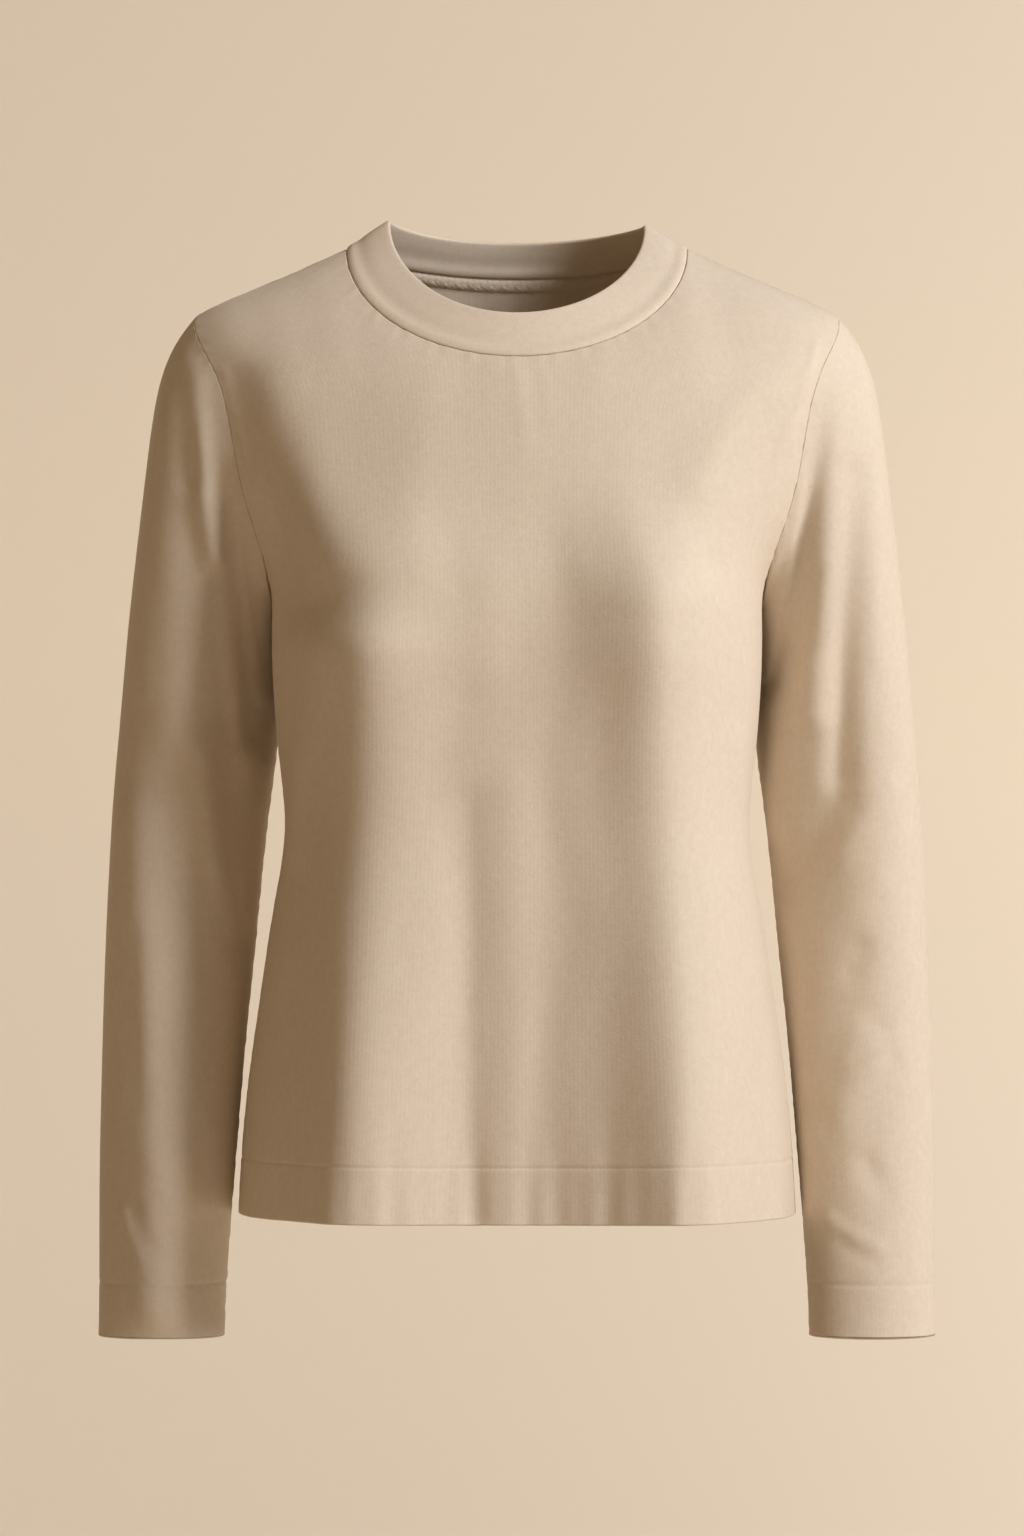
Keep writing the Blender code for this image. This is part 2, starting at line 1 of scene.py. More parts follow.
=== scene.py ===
"""A long-sleeved crew-neck top in fine beige jersey, hollow and filled out as it is when worn.

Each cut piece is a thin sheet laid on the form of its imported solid, with its creases, its edges
rolled into the seams, its turned hem and its stitching. +X is the wearer's left, -Y the front
and +Z up. Lengths are in metres, but in millimetres in the tables of folds.
"""

import logging
import math
from dataclasses import dataclass
from enum import Enum
from typing import Callable, Iterable, NamedTuple, Sequence

import bpy
import numpy as np
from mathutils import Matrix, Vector


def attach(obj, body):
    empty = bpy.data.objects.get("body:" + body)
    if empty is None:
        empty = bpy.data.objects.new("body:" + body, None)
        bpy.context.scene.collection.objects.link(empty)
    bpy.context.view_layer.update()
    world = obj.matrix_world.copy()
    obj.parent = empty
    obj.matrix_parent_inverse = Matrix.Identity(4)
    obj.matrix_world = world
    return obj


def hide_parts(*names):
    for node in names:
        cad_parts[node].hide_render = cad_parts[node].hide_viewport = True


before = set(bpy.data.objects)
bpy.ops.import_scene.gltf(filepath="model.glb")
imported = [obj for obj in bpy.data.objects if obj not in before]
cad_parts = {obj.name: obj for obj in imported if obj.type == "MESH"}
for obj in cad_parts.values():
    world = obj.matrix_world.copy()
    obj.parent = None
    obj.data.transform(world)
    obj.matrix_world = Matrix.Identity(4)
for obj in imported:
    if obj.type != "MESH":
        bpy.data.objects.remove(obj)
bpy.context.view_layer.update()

LOG = logging.getLogger("top")
Array = np.ndarray
Triple = tuple[float, float, float]
Surface = Callable[[Array, Array], Array]
TINY = 1e-4
MM_PER_METRE = 1000


class Face(Enum):
    """The front or the back of the body."""

    FRONT = 1
    BACK = -1

    def covers(self, facing: Array) -> Array:
        """Returns where values that are positive over the front lie on this face."""
        return facing >= 0 if self is Face.FRONT else facing < 0


class Side(Enum):
    """The wearer's left or right."""

    LEFT = 1
    RIGHT = -1


class Section(NamedTuple):
    """A level section of the body: its half width, its depths from the side seams and its roundness."""

    height: float
    half_width: float
    front: float
    back: float
    front_power: float
    back_power: float


class Hoop(NamedTuple):
    """A ring of the sleeve: its outer end, its inner end beside the body and its half depth."""

    outer_x: float
    outer_y: float
    outer_z: float
    inner_x: float
    inner_y: float
    inner_z: float
    half_depth: float


class Fold(NamedTuple):
    """A soft ridge or trough seen from the front.

    It has its two ends with its height at each, its bow, its width, and its lean: how much wider it
    is on one flank than on the other.
    """

    x0: float
    z0: float
    height0: float
    x1: float
    z1: float
    height1: float
    bow: float
    width: float
    lean: float = 0.0


def in_metres(*rows: tuple[float, ...]) -> tuple[Fold, ...]:
    """Returns a table's rows as folds, their lengths in metres but their lean as it is."""
    folds = [Fold(*row) for row in rows]
    return tuple(Fold(*(length / MM_PER_METRE for length in fold[:-1]), fold.lean) for fold in folds)


# The body's level sections, from the hem up to where the shoulder seams meet the neck
BODY = (
    Section(-0.588, 0.1700, 0.1270, 0.1120, 2.20, 2.15),
    Section(-0.550, 0.1678, 0.1255, 0.1105, 2.20, 2.15),
    Section(-0.507, 0.1637, 0.1235, 0.1075, 2.20, 2.15),
    Section(-0.459, 0.1570, 0.1205, 0.1030, 2.22, 2.15),
    Section(-0.397, 0.1475, 0.1170, 0.0975, 2.25, 2.15),
    Section(-0.353, 0.1415, 0.1150, 0.0960, 2.30, 2.15),
    Section(-0.318, 0.1442, 0.1155, 0.0985, 2.35, 2.15),
    Section(-0.276, 0.1480, 0.1170, 0.1020, 2.42, 2.15),
    Section(-0.230, 0.1493, 0.1175, 0.1050, 2.45, 2.15),
    Section(-0.205, 0.1512, 0.1150, 0.1065, 2.42, 2.18),
    Section(-0.178, 0.1655, 0.1090, 0.1075, 2.38, 2.20),
    Section(-0.152, 0.1830, 0.1020, 0.1070, 2.32, 2.20),
    Section(-0.112, 0.2030, 0.0910, 0.1030, 2.28, 2.20),
    Section(-0.072, 0.2115, 0.0765, 0.0945, 2.22, 2.20),
    Section(-0.041, 0.1950, 0.0540, 0.0845, 2.15, 2.15),
    Section(-0.020, 0.1485, 0.0385, 0.0765, 2.10, 2.05),
    Section(0.000, 0.1040, 0.0220, 0.0680, 2.00, 1.95),
)

# The sleeve's rings, from the armhole down to the cuff, on the wearer's left
SLEEVE = (
    Hoop(0.1950, 0.003, -0.0410, 0.1512, 0.004, -0.2050, 0.0510),
    Hoop(0.2080, 0.004, -0.0580, 0.1492, 0.012, -0.2150, 0.0520),
    Hoop(0.2185, 0.004, -0.0850, 0.1473, 0.024, -0.2270, 0.0530),
    Hoop(0.2250, 0.006, -0.1250, 0.1470, 0.033, -0.2430, 0.0530),
    Hoop(0.2312, 0.008, -0.1750, 0.1470, 0.040, -0.2620, 0.0520),
    Hoop(0.2375, 0.011, -0.2300, 0.1466, 0.044, -0.2850, 0.0510),
    Hoop(0.2425, 0.013, -0.2850, 0.1485, 0.044, -0.3120, 0.0500),
    Hoop(0.2465, 0.014, -0.3300, 0.1525, 0.042, -0.3430, 0.0490),
    Hoop(0.2495, 0.013, -0.3800, 0.1570, 0.038, -0.3850, 0.0470),
    Hoop(0.2517, 0.011, -0.4300, 0.1610, 0.030, -0.4300, 0.0450),
    Hoop(0.2532, 0.007, -0.4850, 0.1662, 0.019, -0.4850, 0.0420),
    Hoop(0.2540, 0.000, -0.5350, 0.1700, 0.008, -0.5350, 0.0390),
    Hoop(0.2542, -0.007, -0.5800, 0.1733, -0.003, -0.5800, 0.0355),
    Hoop(0.2537, -0.017, -0.6320, 0.1765, -0.015, -0.6320, 0.0320),
    Hoop(0.2538, -0.023, -0.6610, 0.1772, -0.023, -0.6610, 0.0305),
)

# The largest folds, in millimetres: those of the solids, fuller at the front hem
BODY_FOLDS = {
    Face.FRONT: in_metres(
        (-88, -200, 9, -88, -235, 7, 0, 44, 0.1),
        (80, -205, 7, 80, -235, 6, 0, 44),
        (-87, -250, 12, -95, -600, 25, 0, 30, -0.05),
        (81, -225, 14, 92, -600, 32, -2, 38, -0.27),
        (-30, -280, -2, -30, -600, -4, 0, 20),
        (-2, -330, 1, -2, -600, 1.5, 0, 14),
        (-172, -85, -3, -128, -215, -6, 6, 16),
        (168, -75, 2, 112, -145, 3, 4, 18),
        (-112, -240, 2, -134, -366, 4, 1, 12),
        (20, -190, -5, 4, -600, -12, 0, 42, 0.2),
        (-138, -95, 3, -104, -190, 4, 3, 22),
    ),
    Face.BACK: in_metres(
        (-70, -120, 4, -74, -180, 4, 0, 45),
        (70, -120, 4, 74, -180, 4, 0, 45),
        (-70, -270, 3, -92, -600, 10, -5, 32),
        (66, -290, 3, 84, -600, 11, 6, 34),
        (4, -330, 1, 0, -600, 6, 3, 22),
        (-150, -100, -2, -105, -220, -4, 5, 20),
        (152, -95, -2, 108, -230, -4, -5, 21),
    ),
}
SLEEVE_FOLDS = {
    (Side.LEFT, Face.FRONT): in_metres(
        (181, -95, -4, 152, -264, -6, -3, 10),
        (191, -94, 3, 180, -285, 4, -2, 11),
        (205, -141, -3, 197, -320, -6, 2, 10),
        (196, -338, -5, 168, -388, -4, 3, 11),
        (173, -256, 2, 158, -352, 4, 2, 10),
        (223, -486, 3, 186, -540, 2, 3, 11),
    ),
    (Side.LEFT, Face.BACK): in_metres(
        (200, -110, -3, 176, -270, -3, 5, 12),
        (226, -345, 3, 180, -382, 4, 4, 11),
        (222, -398, 2, 176, -430, 3, 3, 10),
        (216, -470, -2, 214, -580, -2, 2, 14),
    ),
    (Side.RIGHT, Face.FRONT): in_metres(
        (-194, -72, 4, -183, -190, 7, 2, 8),
        (-200, -84, -2, -196, -141, -3, 2, 9),
        (-175, -141, -4, -154, -300, -9, -1, 10),
        (-211, -112, 2, -206, -293, 4, 2, 16),
        (-193, -309, 5, -168, -412, 4, 4, 10),
        (-177, -290, -5, -160, -420, -6, 0, 14),
        (-227, -350, 5, -217, -640, 10, -3, 16),
        (-212, -556, 2, -202, -580, 2, 0, 12),
    ),
    (Side.RIGHT, Face.BACK): in_metres(
        (-201, -105, -3, -178, -262, -3, -5, 12),
        (-224, -352, 4, -180, -386, 3, -4, 12),
        (-220, -410, 2, -178, -436, 3, -3, 10),
        (-214, -480, -2, -216, -590, -2, 2, 14),
    ),
}

# The finer creases, in millimetres, which only the sheets have
BODY_CREASES = {
    Face.FRONT: in_metres(
        (0, -80, 0.3, 5, -122, 0.2, 0.5, 4.5),
        (10, -84, -0.3, 12, -116, -0.1, 0, 5),
        (-180, -80, 1.2, -157, -155, 1.6, 3, 6.6, 0.3),
        (180, -64, 1.2, 160, -118, 0.8, -2.5, 6, -0.3),
        (147, -104, -1, 118, -156, -0.6, 4, 9),
        (-30, -340, -1, -28, -580, -1.8, 2, 11, 0.2),
        (-138, -430, 0.8, -150, -600, 2.2, 4, 11, 0.2),
        (142, -440, 0.8, 150, -600, 1.8, -3, 10, -0.2),
        (128, -300, 1, 134, -370, 0.6, 2, 9),
        (-120, -320, -1, -126, -410, -0.6, 2, 7),
        (112, -196, -1.2, 90, -236, -1, 3, 10),
    ),
    Face.BACK: in_metres(
        (-172, -70, 1.6, -150, -130, 1, 3, 6.5, 0.3),
        (174, -66, 1.4, 151, -132, 1.1, -3, 6, -0.3),
        (-140, -130, -1.2, -108, -200, -0.9, 5, 9),
        (142, -124, -1.4, 112, -196, -0.8, -4, 9.5),
        (-36, -390, -1, -46, -600, -2.8, 3, 13, 0.2),
        (42, -400, -1.2, 40, -600, -2.6, -2, 12, -0.2),
        (-118, -300, 1.2, -132, -380, 0.8, 3, 9),
        (116, -310, 1.2, 130, -400, 0.9, -3, 8.5),
        (0, -30, 0.5, 0, -90, 0.2, 1, 8),
    ),
}
SLEEVE_CREASES = {
    (Side.LEFT, Face.FRONT): in_metres(
        (170, -135, 2.6, 150, -262, 3, -3, 4.8, 0.3),
        (180, -200, -1.2, 166, -290, -1.2, 3, 6),
        (222, -110, 1.2, 219, -250, 1, 2, 7),
        (209, -428, -2, 203, -440, -1.6, 0, 8),
        (222, -478, -1.8, 226, -492, -1.2, 0, 7),
        (206, -476, 1.6, 200, -494, 1.2, 1, 8),
        (186, -530, -1.4, 190, -546, -1, 0, 7),
        (212, -556, -1.4, 220, -570, -1, 1, 7),
        (190, -590, 1.5, 218, -606, 1, 2, 5, 0.3),
        (196, -602, -1, 216, -614, -0.8, 1, 4.5),
        (226, -330, 1.2, 196, -372, 1, 3, 7, -0.2),
        (218, -386, 1, 184, -424, 1, 3, 8),
    ),
    (Side.LEFT, Face.BACK): in_metres(
        (222, -120, 1.4, 214, -230, 1.2, 3, 8, 0.2),
        (232, -318, -1.6, 190, -350, -1.6, 3, 7),
        (236, -370, -1.4, 196, -404, -1.4, 3, 6.5),
        (230, -452, 1.2, 200, -480, 1, 2, 7.5, -0.2),
        (200, -540, 1.2, 222, -566, 1, 2, 7),
        (192, -600, -1, 212, -616, -0.8, 1, 5),
    ),
    (Side.RIGHT, Face.FRONT): in_metres(
        (-168, -168, 1.6, -151, -278, 1.6, 2, 4.2, 0.2),
        (-183, -200, -1.2, -172, -300, -1.4, 3, 6),
        (-222, -120, 1, -226, -270, 1.2, 2, 8),
        (-200, -400, -1.4, -180, -450, -1, 3, 9),
        (-232, -420, -1, -228, -520, -1, 2, 7),
        (-194, -480, 1.2, -186, -540, 0.8, 3, 9, 0.2),
        (-236, -586, 1.4, -225, -612, 1, 1, 4.5, 0.3),
        (-228, -582, -1, -218, -606, -0.8, 1, 4.5),
        (-206, -340, 1.2, -186, -376, 1, 2, 7),
    ),
    (Side.RIGHT, Face.BACK): in_metres(
        (-220, -116, 1.4, -212, -226, 1.2, -3, 8, 0.2),
        (-232, -322, -1.6, -188, -356, -1.4, -3, 7),
        (-234, -380, -1.4, -194, -412, -1.2, -3, 6.5),
        (-230, -456, 1.2, -198, -486, 1, -2, 7.5, -0.2),
        (-202, -548, 1.2, -224, -574, 1, -2, 7),
    ),
}


class Wave(NamedTuple):
    """A part of an uneven wave: its rate, its share and how much of the seed shifts it."""

    rate: float
    share: float
    shift: float


class Drift(NamedTuple):
    """A slow unevenness of hanging cloth: its lengths across and along, its height and its turn."""

    across: float
    along: float
    height: float
    turn: float


WAVES = (Wave(0.83, 1.0, 1.0), Wave(1.31, 0.8, 2.1), Wave(0.37, 0.6, 3.7))
DRIFTS = (Drift(0.074, 0.310, 0.0006, 0.4), Drift(0.041, 0.170, 0.0002, 1.9))
DRIFT_SWAY = 0.2
DRIFT_SWELL = 0.5


class Spline:
    """A natural cubic spline through one column of a table."""

    def __init__(self, knots: Iterable[float], values: Iterable[float]) -> None:
        """Fits the spline.

        Args:
            knots: where the values stand, in rising order.
            values: the values there.
        """
        self.knots = np.array(list(knots), float)
        self.values = np.array(list(values), float)
        size = len(self.knots)
        gap = np.diff(self.knots)
        slope = np.diff(self.values) / gap
        matrix = np.eye(size)
        turn = np.zeros(size)
        for i in range(1, size - 1):
            matrix[i, i - 1 : i + 2] = gap[i - 1], 2 * (gap[i - 1] + gap[i]), gap[i]
            turn[i] = 6 * (slope[i] - slope[i - 1])
        self.bend = np.linalg.solve(matrix, turn)

    def __call__(self, at: Array) -> Array:
        """Returns the values at the given places."""
        i = np.clip(np.searchsorted(self.knots, at) - 1, 0, len(self.knots) - 2)
        gap = self.knots[i + 1] - self.knots[i]
        far = (at - self.knots[i]) / gap
        near = 1 - far
        straight = near * self.values[i] + far * self.values[i + 1]
        curve = (near**3 - near) * self.bend[i] + (far**3 - far) * self.bend[i + 1]
        return straight + curve * gap**2 / 6


BODY_CURVES = Section(*(Spline([row.height for row in BODY], column) for column in zip(*BODY)))
SLEEVE_CURVES = Hoop(*(Spline(range(len(SLEEVE)), column) for column in zip(*SLEEVE)))


def unit(vectors: Array) -> Array:
    """Returns the vectors at length one."""
    return vectors / np.linalg.norm(vectors, axis=-1, keepdims=True)


def ease(share: Array) -> Array:
    """Returns a smooth step from 0 to 1."""
    share = np.clip(share, 0, 1)
    return share * share * (3 - 2 * share)


def normals(surface: Surface, a: Array, b: Array) -> Array:
    """Finds the normals of a surface.

    Args:
        surface: gives points for two directions, the first turning from the left over the front.
        a: the first direction.
        b: the second direction, upwards for outward normals.

    Returns:
        Unit normals.
    """
    along_a = surface(a + TINY, b) - surface(a - TINY, b)
    along_b = surface(a, b + TINY) - surface(a, b - TINY)
    return unit(np.cross(along_b, along_a))


def relief(folds: Sequence[Fold], x: Array, z: Array) -> Array:
    """Adds up folds.

    Args:
        folds: the folds.
        x: where the points are across, seen from the front.
        z: how high they are.

    Returns:
        How far the folds stand out of the plain surface at each point.
    """
    total = np.zeros(np.shape(x))
    for fold in folds:
        run_x = fold.x1 - fold.x0
        run_z = fold.z1 - fold.z0
        length = math.hypot(run_x, run_z)
        along = ((x - fold.x0) * run_x + (z - fold.z0) * run_z) / length**2
        crest = np.clip(along, 0, 1)
        beyond = (along - crest) * length
        aside = ((x - fold.x0) * run_z - (z - fold.z0) * run_x) / length
        aside = aside - fold.bow * 4 * crest * (1 - crest)
        width = fold.width * (1 + fold.lean * np.sign(aside))
        height = fold.height0 + (fold.height1 - fold.height0) * ease(crest)
        total = total + height * np.exp(-((aside / width) ** 2) - (beyond / fold.width) ** 2)
    return total


def ripple(along: Array, length: float, seed: float) -> Array:
    """Makes an uneven wave.

    Args:
        along: the distance along the wave.
        length: its mean wavelength.
        seed: sets where its parts start.

    Returns:
        Heights from about -1 to 1.
    """
    turn = 2 * math.pi * along / length
    return sum(wave.share * np.sin(turn * wave.rate + wave.shift * seed) for wave in WAVES) / 2


def drift(x: Array, z: Array, seed: float) -> Array:
    """Returns the slow unevenness of hanging cloth at points seen from the front."""
    total = np.zeros(np.shape(x))
    for across, along, height, turn in DRIFTS:
        bent = x + DRIFT_SWAY * across * np.sin(2 * math.pi * z / along + seed)
        swell = 1 + DRIFT_SWELL * ripple(z, along, turn * seed)
        total = total + height * ripple(bent, across, turn + seed) * swell
    return total


def between(at: Array, run: Array, rows: Array) -> Array:
    """Returns the rows' values at distances along a run of them."""
    return np.stack([np.interp(at, run, column) for column in rows.T], -1)


def run_along(points: Array, axis: int) -> Array:
    """Returns the distance run along one axis of a grid of points, from its first line."""
    step = np.linalg.norm(np.diff(points, axis=axis), axis=-1)
    pad = [(0, 0), (0, 0)]
    pad[axis] = (1, 0)
    return np.cumsum(np.pad(step, pad), axis=axis)


@dataclass(frozen=True)
class BodyForm:
    """The body's surface and the lines of its seams."""

    hem: float = -0.588
    underarm: float = -0.205
    shoulder_point: float = -0.041
    side_y: float = 0.004
    side_fade: float = 0.5
    front_swing: float = math.radians(31.5)
    back_swing: float = math.radians(28.5)
    swing_skew: float = 0.35
    neck_half_width: float = 0.104
    neck_front_drop: float = 0.070
    neck_back_drop: float = 0.012
    crease_fade: float = 0.012
    path_points: int = 33

    def roundness(self, front: Array, height: Array) -> Array:
        """Returns the roundness of the level sections where they are at the front, or else the back."""
        return np.where(front, BODY_CURVES.front_power(height), BODY_CURVES.back_power(height))

    def plain(self, theta: Array, height: Array) -> Array:
        """Finds points of the body without its folds.

        Args:
            theta: the angle, 0 at the wearer's left side and positive over the front.
            height: the height.

        Returns:
            The points.
        """
        front = np.sin(theta) >= 0
        power = self.roundness(front, height)
        depth = np.where(front, BODY_CURVES.front(height), -BODY_CURVES.back(height))
        across = np.sign(np.cos(theta)) * np.abs(np.cos(theta)) ** (2 / power)
        x = BODY_CURVES.half_width(height) * across
        y = self.side_y - depth * np.abs(np.sin(theta)) ** (2 / power)
        return np.stack([x, y, height + 0 * x], -1)

    def folded(self, theta: Array, height: Array, creased: bool = True) -> Array:
        """Returns points of the body with its folds, and its finer creases if creased."""
        base = self.plain(theta, height)
        lift = np.zeros(base.shape[:-1])
        for face in Face:
            there = face.covers(np.sin(theta))
            lift = lift + there * relief(BODY_FOLDS[face], base[..., 0], base[..., 2])
            if creased:
                fine = relief(BODY_CREASES[face], base[..., 0], base[..., 2])
                fine = fine + drift(base[..., 0], base[..., 2], face.value)
                lift = lift + there * fine * self.seam_share(theta, height)
        lift = lift * ease(np.abs(np.sin(theta)) / self.side_fade)
        return base + normals(self.plain, theta, height) * lift[..., None]

    def seam_share(self, theta: Array, height: Array) -> Array:
        """Returns how much of the finer creases is left near the neck and armhole seams."""
        turn = np.linspace(0, 2 * math.pi, self.path_points)
        share = np.ones(np.broadcast_shapes(theta.shape, height.shape))
        place = self.plain(theta, height)
        paths = [self.neck_path(turn), *(self.armhole_path(side, turn) for side in Side)]
        for path in paths:
            line = self.plain(*path)
            for start, stop in zip(line[:-1], line[1:]):
                run = stop - start
                along = np.clip(((place - start) @ run) / (run @ run), 0, 1)
                away = np.linalg.norm(place - start - along[..., None] * run, axis=-1)
                share = np.minimum(share, ease(away / self.crease_fade))
        return share

    def angle(self, points: Array, face: Face) -> Array:
        """Returns the angle round the body at which each point's level section passes nearest."""
        height = points[..., 2]
        front = face is Face.FRONT
        power = (BODY_CURVES.front_power if front else BODY_CURVES.back_power)(height)
        depth = (BODY_CURVES.front if front else BODY_CURVES.back)(height)
        x = points[..., 0] / BODY_CURVES.half_width(height)
        y = np.maximum(face.value * (self.side_y - points[..., 1]), 0) / depth
        return face.value * np.arctan2(y ** (power / 2), np.sign(x) * np.abs(x) ** (power / 2))

    def armhole_path(self, side: Side, around: Array) -> tuple[Array, Array]:
        """Follows an armhole.

        Args:
            side: which armhole.
            around: 0 at the shoulder point and pi under the arm, positive over the front.

        Returns:
            The angle and the height on the body.
        """
        swing = np.where(np.sin(around) >= 0, self.front_swing, self.back_swing)
        theta = swing * np.sin(around) * (1 + self.swing_skew * np.cos(around))
        middle = (self.shoulder_point + self.underarm) / 2
        height = middle + (self.shoulder_point - self.underarm) / 2 * np.cos(around)
        if side is Side.RIGHT:
            theta = np.where(theta >= 0, math.pi - theta, -math.pi - theta)
        return theta, height

    def armhole(self, side: Side, around: Array) -> Array:
        """Returns points of the armhole seam."""
        return self.folded(*self.armhole_path(side, around), creased=False)

    def neck_path(self, turn: Array) -> tuple[Array, Array]:
        """Follows the neck seam.

        Args:
            turn: runs from the left shoulder over the front, and on over the back.

        Returns:
            The angle and the height on the body.
        """
        swell = np.abs(np.sin(turn))
        front = np.sin(turn) >= 0
        height = -np.where(front, self.neck_front_drop * swell, self.neck_back_drop * swell**2)
        x = self.neck_half_width * np.cos(turn)
        power = self.roundness(front, height)
        ratio = np.clip(np.abs(x) / BODY_CURVES.half_width(height), 0, 1)
        theta = np.arccos(np.sign(x) * ratio ** (power / 2))
        return np.where(front, theta, -theta), height

    def neck(self, turn: Array) -> Array:
        """Returns points of the neck seam."""
        return self.folded(*self.neck_path(turn), creased=False)


@dataclass(frozen=True)
class SleeveForm:
    """A sleeve's surface, drawn on to the armhole at its top."""

    body: BodyForm
    side: Side
    join_rows: float = 4.0
    join_power: int = 3
    side_fade: float = 0.5
    face_seed: float = 2.0
    cuff_row: float = 14.0
    cuff_row_height: float = 0.029

    def ring(self, around: Array, along: Array) -> Array:
        """Returns points of the sleeve's plain rings."""
        hoop = Hoop(*(curve(along) for curve in SLEEVE_CURVES))
        out = (1 + np.cos(around)) / 2
        x = hoop.inner_x + (hoop.outer_x - hoop.inner_x) * out
        y = hoop.inner_y + (hoop.outer_y - hoop.inner_y) * out - hoop.half_depth * np.sin(around)
        z = hoop.inner_z + (hoop.outer_z - hoop.inner_z) * out
        return np.stack([self.side.value * x, y, z], -1)

    def folded(self, around: Array, along: Array) -> Array:
        """Finds points of the sleeve with its folds and creases.

        Args:
            around: 0 at the outside and pi beside the body, positive over the front.
            along: counts the rings down from the armhole.

        Returns:
            The points.
        """
        ring = self.ring(around, along)
        pull = (1 - np.clip(along / self.join_rows, 0, 1)) ** self.join_power
        seam = self.body.armhole(self.side, around) - self.ring(around, 0 * along)
        base = ring + seam * pull[..., None]
        middle = (self.ring(0 * around, along) + self.ring(0 * around + math.pi, along)) / 2
        facing = np.sin(around)
        lift = np.zeros(facing.shape)
        for face in Face:
            there = face.covers(facing)
            folds = SLEEVE_FOLDS[self.side, face] + SLEEVE_CREASES[self.side, face]
            seed = self.side.value + self.face_seed * face.value
            wave = drift(ring[..., 0], ring[..., 2], seed)
            lift = lift + there * (relief(folds, ring[..., 0], ring[..., 2]) + wave)
        lift = lift * ease(np.abs(facing) / self.side_fade) * ease(2 * along / self.join_rows)
        return base + unit(ring - middle) * lift[..., None]

    def outward(self, around: Array, along: Array) -> Array:
        """Returns the sleeve's outward normals."""
        return -self.side.value * normals(self.folded, around, along)


class Edge(Enum):
    """An edge of a grid, by the quarter turns that bring it to the last row."""

    LEFT = 1
    RIGHT = -1
    TOP = 0

    def last(self, grid: Array) -> Array:
        """Returns the grid turned so that this edge is its last row."""
        return np.rot90(grid, self.value)

    def back(self, grid: Array) -> Array:
        """Returns a turned grid as it was."""
        return np.rot90(grid, -self.value)

    def order(self, line: Array) -> Array:
        """Returns the edge's own values in the order of the turned grid's last row."""
        return line[::-1] if self is Edge.RIGHT else line


@dataclass(frozen=True)
class Seam:
    """How a cut edge goes into its seam: it rolls over and stands in as a narrow allowance."""

    inset: float = 0.00015
    roll: float = 0.0006
    allowance: float = 0.0035
    lines: tuple[float, ...] = (0.00015, 0.0004, 0.0008, 0.0014, 0.0022)
    shares: tuple[float, ...] = (0.05, 0.16, 0.36, 0.58, 0.8)
    pucker: float = 0.00030
    pucker_length: float = 0.011
    pucker_fade: float = 0.008

    def dip(self, away: Array) -> Array:
        """Returns how deep the rolled edge lies at distances in from the seam."""
        left = np.clip(self.roll - (away - self.inset), 0, self.roll)
        return self.roll - np.sqrt(self.roll**2 - left**2)

    def lift(self, away: Array, along: Array, seed: float) -> Array:
        """Returns how far the puckers stand out, for distances from the seam and along it."""
        wave = ripple(along, self.pucker_length, seed)
        return self.pucker * wave * np.exp(-((away / self.pucker_fade) ** 2))

    def add_lines(self, a: Array, b: Array, surface: Surface, edge: Edge) -> tuple[Array, Array]:
        """Replaces the edge's line of a grid with a few lines at set distances from it.

        Args:
            a: the grid's first parameter.
            b: its second parameter.
            surface: gives points for the two.
            edge: which edge.

        Returns:
            The two parameters.
        """
        a, b = edge.last(a), edge.last(b)
        points = surface(a[-2:], b[-2:])
        cell = np.linalg.norm(points[1] - points[0], axis=-1)
        share = [np.minimum(distance / cell, most) for distance, most in zip(self.lines, self.shares)]
        share = np.array(share)[::-1]
        a = np.concatenate([a[:-1], a[-1] + (a[-2] - a[-1]) * share])
        b = np.concatenate([b[:-1], b[-1] + (b[-2] - b[-1]) * share])
        return edge.back(a), edge.back(b)


